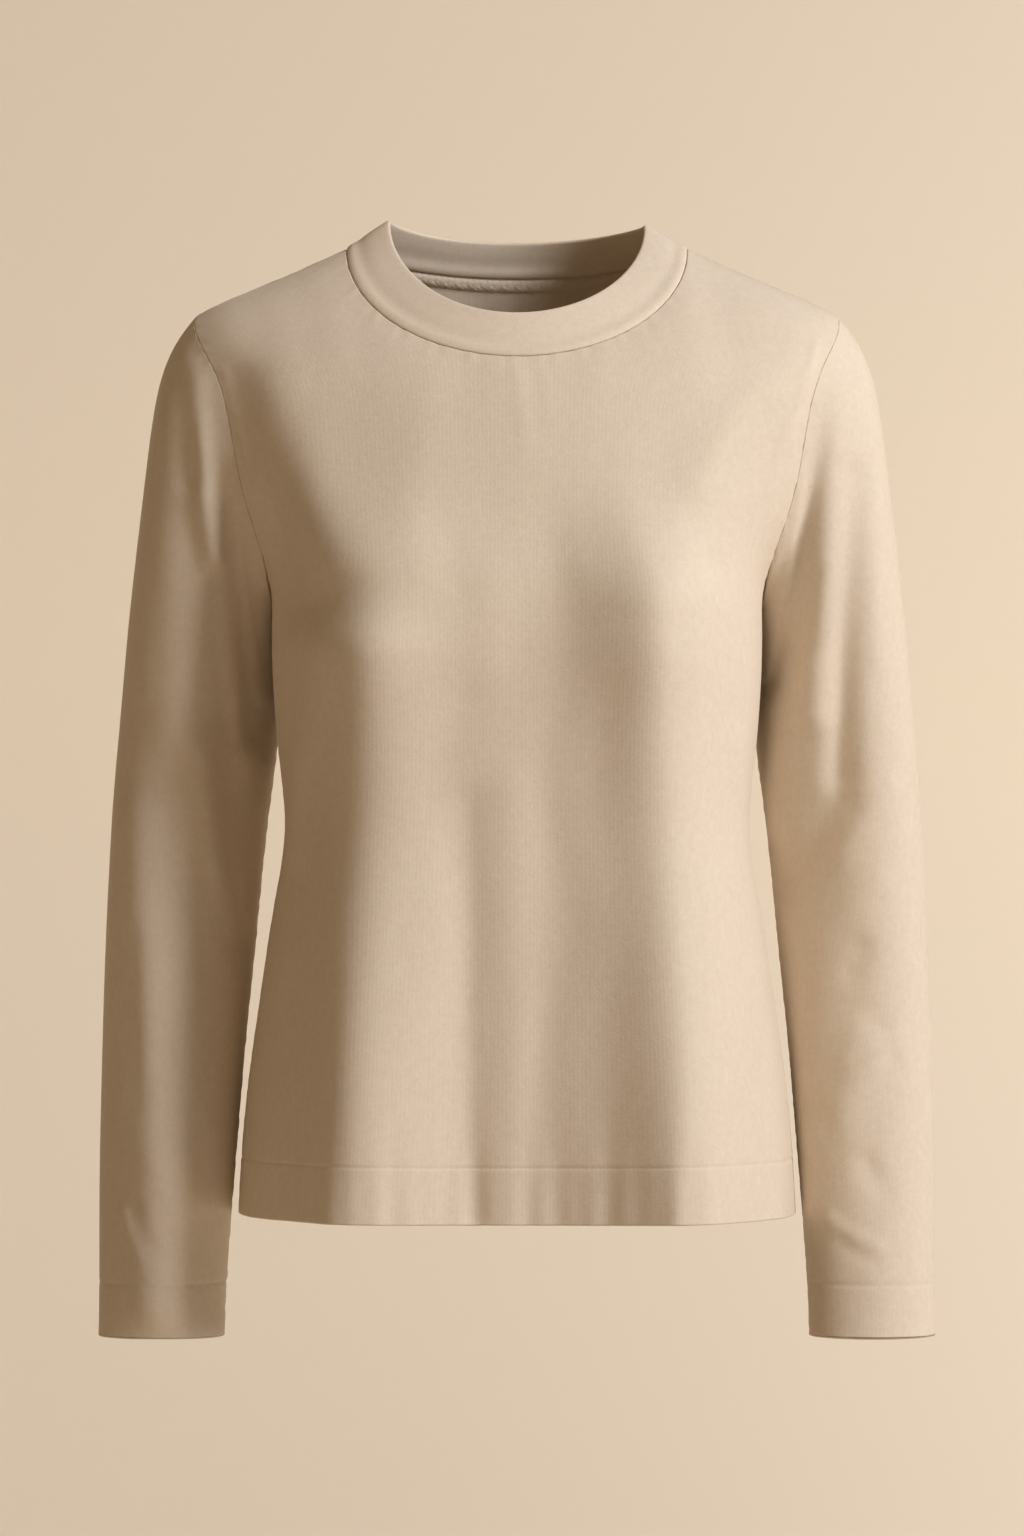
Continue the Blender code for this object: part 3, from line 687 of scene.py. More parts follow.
@dataclass
class Cloth:
    """A cut piece of cloth as a grid of outer points and their flat coordinates, rows upwards."""

    points: Array
    out: Array
    thickness: float = 0.0009
    flat: Array | None = None

    def lay_flat(self) -> None:
        """Works out each point's place on the uncurved cloth."""
        across = run_along(self.points, 1)
        across = across - across[:, across.shape[1] // 2, None]
        self.flat = np.stack([across, run_along(self.points, 0)], -1)

    def roll_in(self, seam: Seam, edge: Edge, inward: Array, seed: float) -> None:
        """Rolls an edge into its seam and puckers the cloth beside it.

        Args:
            seam: how the edge is made.
            edge: which edge.
            inward: the way into the garment at each of the edge's points.
            seed: sets the puckers' pattern.
        """
        points, out = edge.last(self.points), edge.last(self.out)
        away = run_along(points[::-1], 0)[::-1] + seam.inset
        along = run_along(points, 1)[-1:]
        dip = seam.dip(away)[..., None]
        share = dip / seam.roll
        way = unit(edge.order(inward)[None] * share - out * (1 - share))
        points = points + way * dip + out * seam.lift(away, along, seed)[..., None]
        self.points = edge.back(points)

    def stand_in(self, edge: Edge, inward: Array, depth: Array, steps: Sequence[float] = (0.3, 1.0)) -> None:
        """Adds the allowance that stands into the garment from an edge.

        Args:
            edge: which edge.
            inward: the way in at each of the edge's points.
            depth: how deep it stands at each of them.
            steps: the shares of the depth at which it has lines.
        """
        points, flat = edge.last(self.points), edge.last(self.flat)
        spare = (points.shape[1] - len(inward)) // 2
        inward = edge.order(np.pad(inward, ((spare, spare), (0, 0)), mode="edge"))
        depth = edge.order(np.pad(depth, spare, mode="edge"))[:, None]
        beyond = unit(flat[-1] - flat[-2])
        lines = np.array([points[-1] + inward * depth * step for step in steps])
        places = np.array([flat[-1] + beyond * depth * step for step in steps])
        self.points = edge.back(np.concatenate([points, lines]))
        self.flat = edge.back(np.concatenate([flat, places]))
        self.out = edge.back(np.pad(edge.last(self.out), ((0, len(steps)), (0, 0), (0, 0)), mode="edge"))

    def size(self) -> tuple[float, float]:
        """Returns the width and the length of the cloth laid flat."""
        return float(np.ptp(self.flat[..., 0])), float(np.ptp(self.flat[..., 1]))

    def area(self) -> float:
        """Returns the area of one side of the cloth."""
        rising = self.points[1:, 1:] - self.points[:-1, :-1]
        falling = self.points[1:, :-1] - self.points[:-1, 1:]
        return float(np.linalg.norm(np.cross(rising, falling), axis=-1).sum() / 2)

    def sew(
        self, node: str, finish: "Finish", seam: Seam, ways: dict[Edge, Array], depths: dict[Edge, Array],
        stitched: int, seed: float,
    ) -> bpy.types.Object:
        """Sews a panel in: its edges rolled in, its stitched row and its allowances.

        Args:
            node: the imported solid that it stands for.
            finish: what the cloth is made of.
            seam: how its edges are made.
            ways: the way into the garment along each edge.
            depths: how deep the allowance stands along each edge.
            stitched: the row that is stitched.
            seed: sets the puckers' pattern.

        Returns:
            The piece.
        """
        for number, (edge, way) in enumerate(ways.items()):
            self.roll_in(seam, edge, way, number + seed)
        self.lay_flat()
        stitches = StitchRow(node).build(self.points[stitched], self.out[stitched])
        for edge, way in ways.items():
            self.stand_in(edge, way, depths[edge])
        return self.build(node, finish, "hung", [stitches])

    def build(
        self, node: str, finish: "Finish", held: str, trim: Sequence[bpy.types.Object] = ()
    ) -> bpy.types.Object:
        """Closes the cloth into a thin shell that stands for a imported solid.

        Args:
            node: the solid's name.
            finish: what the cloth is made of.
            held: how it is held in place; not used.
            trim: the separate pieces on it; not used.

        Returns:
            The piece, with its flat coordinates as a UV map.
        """
        way = unit(np.cross(np.gradient(self.points, axis=1), np.gradient(self.points, axis=0)))
        facing = np.sign((way * self.out).sum())
        way = way * facing
        rows, columns = way.shape[:2]
        count = rows * columns
        places = np.concatenate([self.points, self.points - way * self.thickness]).reshape(-1, 3)
        index = np.arange(count).reshape(rows, columns)
        outer = np.stack([index[:-1, :-1], index[:-1, 1:], index[1:, 1:], index[1:, :-1]], -1)
        border = np.concatenate([index[0, :-1], index[:-1, -1], index[-1, :0:-1], index[:0:-1, 0]])
        follow = np.roll(border, -1)
        rim = np.stack([follow, border, border + count, follow + count], -1)
        outer = outer.reshape(-1, 4)
        faces = np.concatenate([outer, outer[:, ::-1] + count, rim])
        if facing < 0:
            faces = faces[:, ::-1]
        flat = np.tile(self.flat.reshape(-1, 2), (2, 1))
        piece = make_piece(node + "_cloth", places, faces, flat, finish)
        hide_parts(node)
        self.size()
        LOG.info("%s: cut %.3f by %.4f m, %.4f m2", piece.name, *self.size(), self.area())
        return piece


def make_piece(
    name: str, places: Array, faces: Sequence[Sequence[int]], flat: Array, finish: "Finish"
) -> bpy.types.Object:
    """Makes an object from arrays.

    Args:
        name: the piece's name.
        places: its vertices.
        faces: the vertices of each face.
        flat: each vertex's flat coordinates.
        finish: what it is made of.

    Returns:
        The object, smooth shaded and riding on the top's one body.
    """
    mesh = bpy.data.meshes.new(name)
    mesh.from_pydata(places, [], faces)
    corners = np.empty(len(mesh.loops), int)
    mesh.loops.foreach_get("vertex_index", corners)
    mesh.uv_layers.new(name="cloth").data.foreach_set("uv", flat[corners].ravel())
    mesh.shade_smooth()
    mesh.materials.append(finish.material())
    piece = bpy.data.objects.new(name, mesh)
    bpy.context.scene.collection.objects.link(piece)
    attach(piece, "root")
    LOG.info("%s: %d faces", name, len(faces))
    return piece


@dataclass(frozen=True)
class PanelGrid:
    """The even grid that covers one face of the body, from just over its hem to its shoulders."""

    form: BodyForm
    face: Face
    side_steps: int = 14
    armhole_steps: int = 12
    shoulder_steps: int = 5
    neck_steps: int = 20
    levels: tuple[int, ...] = (1, 2, 6)
    rounds: tuple[int, ...] = (400, 60, 40)
    start: float = 0.0400
    top_pull: float = 1.5

    def edges(self, fine: int) -> tuple[Array, Array, Array]:
        """Returns the left, top and bottom edges, each step of the plan cut into fine parts."""
        form, face = self.form, self.face.value
        sides = np.linspace(form.hem + self.start, form.underarm, self.side_steps * fine + 1)
        around = face * np.linspace(math.pi, 0, self.armhole_steps * fine + 1)[1:]
        theta, height = form.armhole_path(Side.LEFT, around)
        left = form.plain(np.concatenate([0 * sides, theta]), np.concatenate([sides, height]))
        shoulder = np.linspace(form.shoulder_point, 0, self.shoulder_steps * fine + 1)[:-1]
        theta, height = form.neck_path(face * np.linspace(0, math.pi, self.neck_steps * fine + 1))
        theta = np.concatenate([0 * shoulder, theta, 0 * shoulder + face * math.pi])
        top = form.plain(theta, np.concatenate([shoulder, height, shoulder[::-1]]))
        bottom = form.plain(face * np.linspace(0, math.pi, len(top)), np.full(len(top), sides[0]))
        return left, top, bottom

    def fill(self, left: Array, top: Array, bottom: Array) -> Array:
        """Returns points between the panel's edges, the right edge being the left one mirrored."""
        u = np.linspace(0, 1, len(top))[None, :, None]
        reach = run_along(left[:, None], 0)
        pull = ease((reach / reach[-1]) ** self.top_pull)[..., None]
        left, top, bottom = left[:, None], top[None], bottom[None]
        right = left * (-1, 1, 1)
        bottom = bottom - (1 - u) * left[0] - u * right[0]
        top = top - (1 - u) * left[-1] - u * right[-1]
        return (1 - u) * left + u * right + (1 - pull) * bottom + pull * top

    def relax(self, points: Array, rounds: int) -> Array:
        """Evens out the points inside the grid's edges, keeping them on the body."""
        for _ in range(rounds):
            inner = self.form.plain(self.form.angle(points, self.face), points[..., 2])
            points[1:-1, 1:-1] = inner[1:-1, 1:-1]
            across = (points[1:-1, 2:] - points[1:-1, :-2]) / 2
            upward = (points[2:, 1:-1] - points[:-2, 1:-1]) / 2
            twist = (points[2:, 2:] - points[2:, :-2] - points[:-2, 2:] + points[:-2, :-2]) / 2
            beside = points[1:-1, :-2] + points[1:-1, 2:]
            above = points[:-2, 1:-1] + points[2:, 1:-1]
            a = (upward**2).sum(-1, keepdims=True)
            b = (across * upward).sum(-1, keepdims=True)
            c = (across**2).sum(-1, keepdims=True)
            points[1:-1, 1:-1] = (a * beside - b * twist + c * above) / (2 * (a + c))
        return points

    def spread(self, points: Array, rows: int, columns: int) -> Array:
        """Returns the grid of points stretched on to more rows and columns."""
        for axis, size in enumerate((rows, columns)):
            at = np.linspace(0, points.shape[axis] - 1, size)
            low = np.minimum(at.astype(int), points.shape[axis] - 2)
            share = np.expand_dims(at - low, tuple(i for i in range(3) if i != axis))
            points = np.take(points, low, axis) * (1 - share) + np.take(points, low + 1, axis) * share
        return points

    def build(self) -> tuple[Array, Array]:
        """Returns the angles and heights of the finished grid, rows running upwards."""
        points = None
        for fine, rounds in zip(self.levels, self.rounds):
            left, top, bottom = self.edges(fine)
            if points is None:
                points = self.fill(left, top, bottom)
            else:
                points = self.spread(points, len(left), len(top))
            points[0], points[-1] = bottom, top
            points[:, 0], points[:, -1] = left, left * (-1, 1, 1)
            points = self.relax(points, rounds)
        return self.form.angle(points, self.face), points[..., 2]


@dataclass(frozen=True)
class TurnedEdge:
    """A hem or cuff turned up inside, with its fold and the groove that its stitching pulls in."""

    turn: float
    radius: float = 0.0010
    fold_steps: int = 6
    groove: float = 0.00035
    groove_half: float = 0.0010
    flap: tuple[float, ...] = (0.97, 0.90, 0.66, 0.36, 0.12)
    face: tuple[float, ...] = (0.03, 0.07, 0.14, 0.22, 0.31, 0.41, 0.51, 0.61, 0.71, 0.80, 0.87, 0.92)
    beside: tuple[float, ...] = (-0.0018, -0.0011, -0.0005, 0.0, 0.0005, 0.0011, 0.0018, 0.0030)

    def rows(self) -> tuple[Array, Array]:
        """Lists the rows of the turned edge.

        Returns:
            Each row's height over the folded edge, and its offset out of the plain surface.
        """
        bend = np.linspace(math.pi, 0, self.fold_steps + 1)
        flap = np.array(self.flap) * self.turn
        face = np.concatenate([np.array(self.face) * self.turn, self.turn + np.array(self.beside)])
        height = np.concatenate([flap, self.radius * (1 - np.sin(bend)), face])
        offset = np.concatenate([0 * flap - 2 * self.radius, self.radius * (np.cos(bend) - 1), 0 * face])
        return height, offset

    def groove_at(self, rise: Array, offset: Array) -> Array:
        """Returns how deep the stitched groove is, for heights over the folded edge and rows' offsets."""
        groove = self.groove * np.exp(-(((rise - self.turn) / self.groove_half) ** 2))
        return groove * (offset == 0)[:, None]

    def stitched_row(self, rise: Array, offset: Array) -> int:
        """Returns the outer row at which the flap's edge is stitched down."""
        return int(np.argmin(np.abs(rise - self.turn) + (offset < 0)))


@dataclass(frozen=True)
class BandForm:
    """The neckband's line: it rises from the neck seam to its folded top edge."""

    body: BodyForm
    top_half_width: float = 0.078
    top_rise: float = 0.015
    top_front_drop: float = 0.0576
    top_back_drop: float = 0.006
    top_front_y: float = -0.059
    top_back_y: float = 0.066
    right_lift: float = 0.003
    lift_power: int = 4

    def top(self, turn: Array) -> Array:
        """Returns points of the folded top edge."""
        front = np.sin(turn) >= 0
        swell = np.abs(np.sin(turn))
        side_y = self.body.side_y
        y = side_y + np.where(front, self.top_front_y - side_y, self.top_back_y - side_y) * swell
        drop = np.where(front, self.top_front_drop * swell, self.top_back_drop * swell**2)
        rise = self.top_rise + self.right_lift * np.clip(-np.cos(turn), 0, 1) ** self.lift_power
        return np.stack([self.top_half_width * np.cos(turn), y, rise - drop], -1)

    def rise(self, turn: Array) -> Array:
        """Returns the way from the neck seam to the top edge, at its full length."""
        return self.top(turn) - self.body.neck(turn)

    def outward(self, turn: Array) -> Array:
        """Returns the band's outward normals."""
        tangent = self.body.neck(turn + TINY) - self.body.neck(turn - TINY)
        return unit(np.cross(self.rise(turn), tangent))

    def inward(self, turn: Array) -> Array:
        """Returns the way into the garment along the line that halves the neck seam's bend."""
        return -unit(normals(self.body.folded, *self.body.neck_path(turn)) + self.outward(turn))


def armhole_inward(sleeve: SleeveForm, around: Array, leaving: float = 0.2) -> Array:
    """Finds the way into the garment along the line that halves the armhole seam's bend.

    Args:
        sleeve: the sleeve that leaves the armhole.
        around: the places round it.
        leaving: how many rings down the sleeve's direction is taken.

    Returns:
        Unit vectors.
    """
    body, side = sleeve.body, sleeve.side
    body_out = normals(body.folded, *body.armhole_path(side, around))
    sleeve_out = sleeve.outward(around, 0 * around + TINY)
    tangent = unit(body.armhole(side, around + TINY) - body.armhole(side, around - TINY))
    body_way = side.value * unit(np.cross(tangent, body_out))
    away = sleeve.folded(around, 0 * around + leaving) - sleeve.folded(around, 0 * around)
    sleeve_way = unit(away - (away * tangent).sum(-1, keepdims=True) * tangent)
    facing = np.clip(-(body_out * sleeve_out).sum(-1, keepdims=True), 0, 1)
    return -unit(body_out + sleeve_out + facing * (body_way + sleeve_way))


class Noise(NamedTuple):
    """A cloudy pattern: its scale, how much finer detail it has, and how strong that detail is."""

    scale: float
    detail: float = 2.0
    roughness: float = 0.5


class Tree:
    """A material's nodes, added and linked in one call each."""

    def __init__(self, name: str) -> None:
        """Starts a material of that name with only its shader."""
        self.material = bpy.data.materials.new(name)
        self.material.use_nodes = True
        self.nodes = self.material.node_tree.nodes
        self.shader = self.nodes["Principled BSDF"]

    def fill(self, node: bpy.types.Node, **inputs: object) -> None:
        """Sets a node's inputs to values, or links other nodes' outputs to them.

        Args:
            node: the node.
            inputs: by socket name, its spaces as underscores, or by number after a letter n.
        """
        for key, value in inputs.items():
            socket = node.inputs[int(key[1:]) if key[1:].isdigit() else key.replace("_", " ")]
            if isinstance(value, bpy.types.NodeSocket):
                self.material.node_tree.links.new(value, socket)
            else:
                socket.default_value = value

    def add(self, kind: str, out: int | str = 0, settings: dict | None = None, **inputs: object) -> object:
        """Adds a node.

        Args:
            kind: the node's type, without its common first part.
            out: the output that is wanted.
            settings: the node's own settings.
            inputs: its inputs, as for fill.

        Returns:
            The output socket.
        """
        node = self.nodes.new("ShaderNode" + kind)
        for key, value in (settings or {}).items():
            setattr(node, key, value)
        self.fill(node, **inputs)
        return node.outputs[out]

    def maths(self, operation: str, *values: object) -> object:
        """Returns the output of a Math node on the values."""
        inputs = {f"n{i}": value for i, value in enumerate(values)}
        return self.add("Math", settings={"operation": operation}, **inputs)

    def clouds(self, place: object, noise: Noise) -> object:
        """Returns the output of a noise over coordinates."""
        scale, detail, roughness = noise
        return self.add("TexNoise", Vector=place, Scale=scale, Detail=detail, Roughness=roughness)

    def blend(self, share: object, first: Triple, second: Triple) -> object:
        """Returns the output of a mix of two colours by a share."""
        inputs = {"Factor": share, "n6": (*first, 1.0), "n7": (*second, 1.0)}
        return self.add("Mix", out=2, settings={"data_type": "RGBA"}, **inputs)


class Finish:
    """What a piece is made of."""

    name: str

    def material(self) -> bpy.types.Material:
        """Returns the finish's material, made once for each name."""
        if self.name not in bpy.data.materials:
            self.paint(Tree(self.name))
        return bpy.data.materials[self.name]

    def paint(self, tree: Tree) -> None:
        """Adds the finish's nodes to its material."""
        raise NotImplementedError


@dataclass(frozen=True)
class JerseyFinish(Finish):
    """Fine single jersey: matt and softly brushed, with wales up it and courses across."""

    name: str = "jersey"
    dark: Triple = (0.670, 0.555, 0.420)
    light: Triple = (0.790, 0.675, 0.540)
    wale: float = 0.00080
    course: float = 0.00062
    loop_share: float = 0.4
    knit_depth: float = 0.00002
    fuzz_depth: float = 0.00010
    cloud: Noise = Noise(230.0, 4.0, 0.6)
    cloud_share: float = 0.45
    streak: Noise = Noise(1.0)
    streak_scale: Triple = (420.0, 45.0, 1.0)
    streak_share: float = 0.14
    fibre: Noise = Noise(650.0, 2.0, 0.7)
    fibre_share: float = 0.36
    tone_range: tuple[float, float] = (0.22, 0.72)
    roughness: float = 0.85
    specular: float = 0.25
    sheen: float = 0.25
    sheen_roughness: float = 0.45
    sheen_tint: Triple = (1.0, 0.93, 0.84)

    def paint(self, tree: Tree) -> None:
        """Adds the cloth's uneven tone, its knit and its soft sheen."""
        flat = tree.add("UVMap", settings={"uv_map": "cloth"})
        place = tree.add("TexCoord", out="Object")
        cloud = tree.clouds(place, self.cloud)
        streak = tree.clouds(tree.add("Mapping", Vector=flat, Scale=self.streak_scale), self.streak)
        fibre = tree.clouds(place, self.fibre)
        mix = tree.maths("MULTIPLY", streak, self.streak_share)
        mix = tree.maths("MULTIPLY_ADD", cloud, self.cloud_share, mix)
        mix = tree.maths("MULTIPLY_ADD", fibre, self.fibre_share, mix)
        least, most = self.tone_range
        tone = tree.add("MapRange", Value=mix, From_Min=least, From_Max=most)
        tree.fill(
            tree.shader,
            Base_Color=tree.blend(tone, self.dark, self.light),
            Normal=self.bumps(tree, flat, fibre),
            Roughness=self.roughness,
            Specular_IOR_Level=self.specular,
            Sheen_Weight=self.sheen,
            Sheen_Roughness=self.sheen_roughness,
            Sheen_Tint=(*self.sheen_tint, 1.0),
        )

    def bumps(self, tree: Tree, flat: object, fibre: object) -> object:
        """Adds the knitted loops and the brushed fibres.

        Args:
            tree: the material's nodes.
            flat: the cloth's flat coordinates.
            fibre: the fibres' noise.

        Returns:
            The bumped normal.
        """
        across = tree.add("SeparateXYZ", out="X", Vector=flat)
        upward = across.node.outputs["Y"]
        wale = tree.maths("FRACT", tree.maths("DIVIDE", across, self.wale))
        slant = tree.maths("ABSOLUTE", tree.maths("SUBTRACT", wale, 0.5))
        course = tree.maths("ADD", tree.maths("DIVIDE", upward, self.course), slant)
        loop = tree.maths("SINE", tree.maths("MULTIPLY", course, 2 * math.pi))
        ridge = tree.maths("COSINE", tree.maths("MULTIPLY", slant, 2 * math.pi))
        height = tree.maths("MULTIPLY_ADD", loop, self.loop_share, ridge)
        knit = tree.add("Bump", Height=height, Strength=1.0, Distance=self.knit_depth)
        return tree.add("Bump", Height=fibre, Strength=1.0, Distance=self.fuzz_depth, Normal=knit)


@dataclass(frozen=True)
class ThreadFinish(Finish):
    """Twisted sewing thread, a little smoother than the cloth."""

    name: str = "thread"
    colour: Triple = (0.66, 0.54, 0.41)
    twist: float = 0.0006
    depth: float = 0.00004
    roughness: float = 0.6

    def paint(self, tree: Tree) -> None:
        """Adds the thread's colour and its twisted strands."""
        flat = tree.add("UVMap", settings={"uv_map": "cloth"})
        along = tree.add("SeparateXYZ", out="X", Vector=flat)
        turn = tree.maths("ADD", along, along.node.outputs["Y"])
        strand = tree.maths("SINE", tree.maths("MULTIPLY", turn, 2 * math.pi / self.twist))
        bump = tree.add("Bump", Height=strand, Strength=1.0, Distance=self.depth)
        tree.fill(tree.shader, Normal=bump, Base_Color=(*self.colour, 1.0), Roughness=self.roughness)


@dataclass(frozen=True)
class BackdropFinish(Finish):
    """Matt paint that lets the view through from behind."""

    name: str = "backdrop"
    colour: Triple = (0.87, 0.765, 0.615)
    shade: float = 0.96
    cloud: Noise = Noise(1.2)
    roughness: float = 0.9

    def paint(self, tree: Tree) -> None:
        """Adds the paint's faintly clouded colour, and clear glass on its back."""
        cloud = tree.clouds(tree.add("TexCoord", out="Object"), self.cloud)
        darker = tuple(self.shade * value for value in self.colour)
        colour = tree.blend(cloud, darker, self.colour)
        tree.fill(tree.shader, Base_Color=colour, Roughness=self.roughness)
        clear = tree.add("BsdfTransparent")
        behind = tree.add("NewGeometry", out="Backfacing")
        mixed = tree.add("MixShader", n0=behind, n1=tree.shader.outputs[0], n2=clear)
        tree.fill(tree.nodes["Material Output"], Surface=mixed)


@dataclass(frozen=True)
class BodyPanel:
    """The front or back, cut in one, with its hem turned up inside."""

    form: BodyForm
    face: Face
    sleeves: dict[Side, SleeveForm]
    band: BandForm
    finish: Finish = JerseyFinish()
    seam: Seam = Seam()
    hem: TurnedEdge = TurnedEdge(turn=0.034)
    neck_allowance: float = 0.0012
    hem_allowance: float = 0.0008
    turning: float = 0.02
    hem_wave: float = 0.0008
    hem_wave_length: float = 0.021
    hem_wave_reach: float = 0.040
    hem_wave_seed: float = 4.0
    pucker_seed: float = 5.0

    @property
    def name(self) -> str:
        """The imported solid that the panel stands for."""
        return "front_panel" if self.face is Face.FRONT else "back_panel"

    def grid(self) -> tuple[Array, Array, Array]:
        """Returns the angles and heights of all rows, from the flap's edge up, and each row's offset."""
        theta, height = PanelGrid(self.form, self.face).build()
        rise, offset = self.hem.rows()
        level = self.face.value * np.linspace(0, math.pi, theta.shape[1])
        theta = np.concatenate([np.tile(level, (len(rise), 1)), theta])
        height = np.concatenate([np.tile(self.form.hem + rise[:, None], (1, len(level))), height])
        for edge in Edge:
            theta, height = self.seam.add_lines(theta, height, self.form.folded, edge)
        return theta, height, np.pad(offset, (0, len(theta) - len(offset)))

    def side_inward(self, side: Side, out: Array, height: Array) -> Array:
        """Finds the way in along a side seam and the armhole over it.

        Args:
            side: which side.
            out: the panel's own normals there.
            height: the heights there.

        Returns:
            Unit vectors.
        """
        form = self.form
        middle = (form.shoulder_point + form.underarm) / 2
        share = (height - middle) / ((form.shoulder_point - form.underarm) / 2)
        around = self.face.value * np.arccos(np.clip(share, -1, 1))
        armhole = armhole_inward(self.sleeves[side], around)
        near = ease((height - form.underarm + self.turning) / self.turning)[:, None]
        return unit(armhole * near - out * (1 - near))

    def neck_span(self, size: int) -> slice:
        """Returns which of the top edge's points lie on the neck seam."""
        plan = PanelGrid(self.form, self.face)
        count = plan.neck_steps * plan.levels[-1] + 1
        first = (size - count) // 2
        return slice(first, first + count)

    def top_inward(self, out: Array) -> Array:
        """Returns the way in along the shoulder seams and the neck seam between them."""
        span = self.neck_span(len(out))
        way = -out
        turn = self.face.value * np.linspace(0, math.pi, span.stop - span.start)
        way[span] = self.band.inward(turn)
        return way

    def top_depth(self, size: int) -> Array:
        """Returns how deep the allowance stands along the shoulder and neck seams."""
        depth = np.full(size, self.seam.allowance)
        depth[self.neck_span(size)] = self.neck_allowance
        return depth

    def build(self) -> bpy.types.Object:
        """Builds the panel and its hem's stitches, and returns the panel."""
        theta, height, offset = self.grid()
        out = normals(self.form.folded, theta, height)
        rise = height - self.form.hem
        plain = self.form.folded(theta, height)
        wave = ripple(plain[..., 0], self.hem_wave_length, self.hem_wave_seed * self.face.value)
        near = np.exp(-((rise / self.hem_wave_reach) ** 2))
        near = near * ease(np.abs(np.sin(theta)) / self.form.side_fade)
        lift = offset[:, None] - self.hem.groove_at(rise, offset) + self.hem_wave * wave * near
        above = height[:, 0] > self.form.hem + self.hem.turn
        side_depth = np.where(above, self.seam.allowance, self.hem_allowance)
        ways = {
            Edge.LEFT: self.side_inward(Side.LEFT, out[:, 0], height[:, 0]),
            Edge.RIGHT: self.side_inward(Side.RIGHT, out[:, -1], height[:, -1]),
            Edge.TOP: self.top_inward(out[-1]),
        }
        depths = {Edge.LEFT: side_depth, Edge.RIGHT: side_depth, Edge.TOP: self.top_depth(len(out[-1]))}
        stitched = self.hem.stitched_row(rise[:, 0], offset)
        seed = self.pucker_seed * self.face.value
        cloth = Cloth(plain + out * lift[..., None], out)
        return cloth.sew(self.name, self.finish, self.seam, ways, depths, stitched, seed)


@dataclass(frozen=True)
class Sleeve:
    """A set-in sleeve in one piece, closed by its underarm seam, with a turned cuff."""

    form: SleeveForm
    finish: Finish = JerseyFinish()
    seam: Seam = Seam()
    cuff: TurnedEdge = TurnedEdge(turn=0.031)
    rows: int = 172
    columns: int = 133
    underarm_allowance: float = 0.0030
    cuff_allowance: float = 0.0006
    pucker_seed: float = 7.0

    @property
    def name(self) -> str:
        """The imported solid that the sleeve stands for."""
        return "sleeve_left" if self.form.side is Side.LEFT else "sleeve_right"

    def grid(self) -> tuple[Array, Array, Array]:
        """Returns the turns and rings of all rows, from the flap's edge up, and each row's offset."""
        rise, offset = self.cuff.rows()
        last = self.form.cuff_row
        rings = last - rise / self.form.cuff_row_height
        rings = np.concatenate([rings, np.linspace(rings[-1], 0, self.rows)[1:]])
        around, along = np.meshgrid(np.linspace(-math.pi, math.pi, self.columns), rings)
        for edge in Edge:
            around, along = self.seam.add_lines(around, along, self.form.folded, edge)
        return around, along, np.pad(offset, (0, len(along) - len(offset)))

    def build(self) -> bpy.types.Object:
        """Builds the sleeve and its cuff's stitches, and returns the sleeve."""
        around, along, offset = self.grid()
        out = self.form.outward(around, along)
        rise = (self.form.cuff_row - along) * self.form.cuff_row_height
        lift = offset[:, None] - self.cuff.groove_at(rise, offset)
        side_depth = np.where(rise[:, 0] > self.cuff.turn, self.underarm_allowance, self.cuff_allowance)
        ways = {
            Edge.LEFT: -out[:, 0],
            Edge.RIGHT: -out[:, -1],
            Edge.TOP: armhole_inward(self.form, around[-1]),
        }
        top_depth = np.full(around.shape[1], self.seam.allowance)
        depths = {Edge.LEFT: side_depth, Edge.RIGHT: side_depth, Edge.TOP: top_depth}
        stitched = self.cuff.stitched_row(rise[:, 0], offset)
        seed = self.pucker_seed * self.form.side.value
        cloth = Cloth(self.form.folded(around, along) + out * lift[..., None], out)
        return cloth.sew(self.name, self.finish, self.seam, ways, depths, stitched, seed)


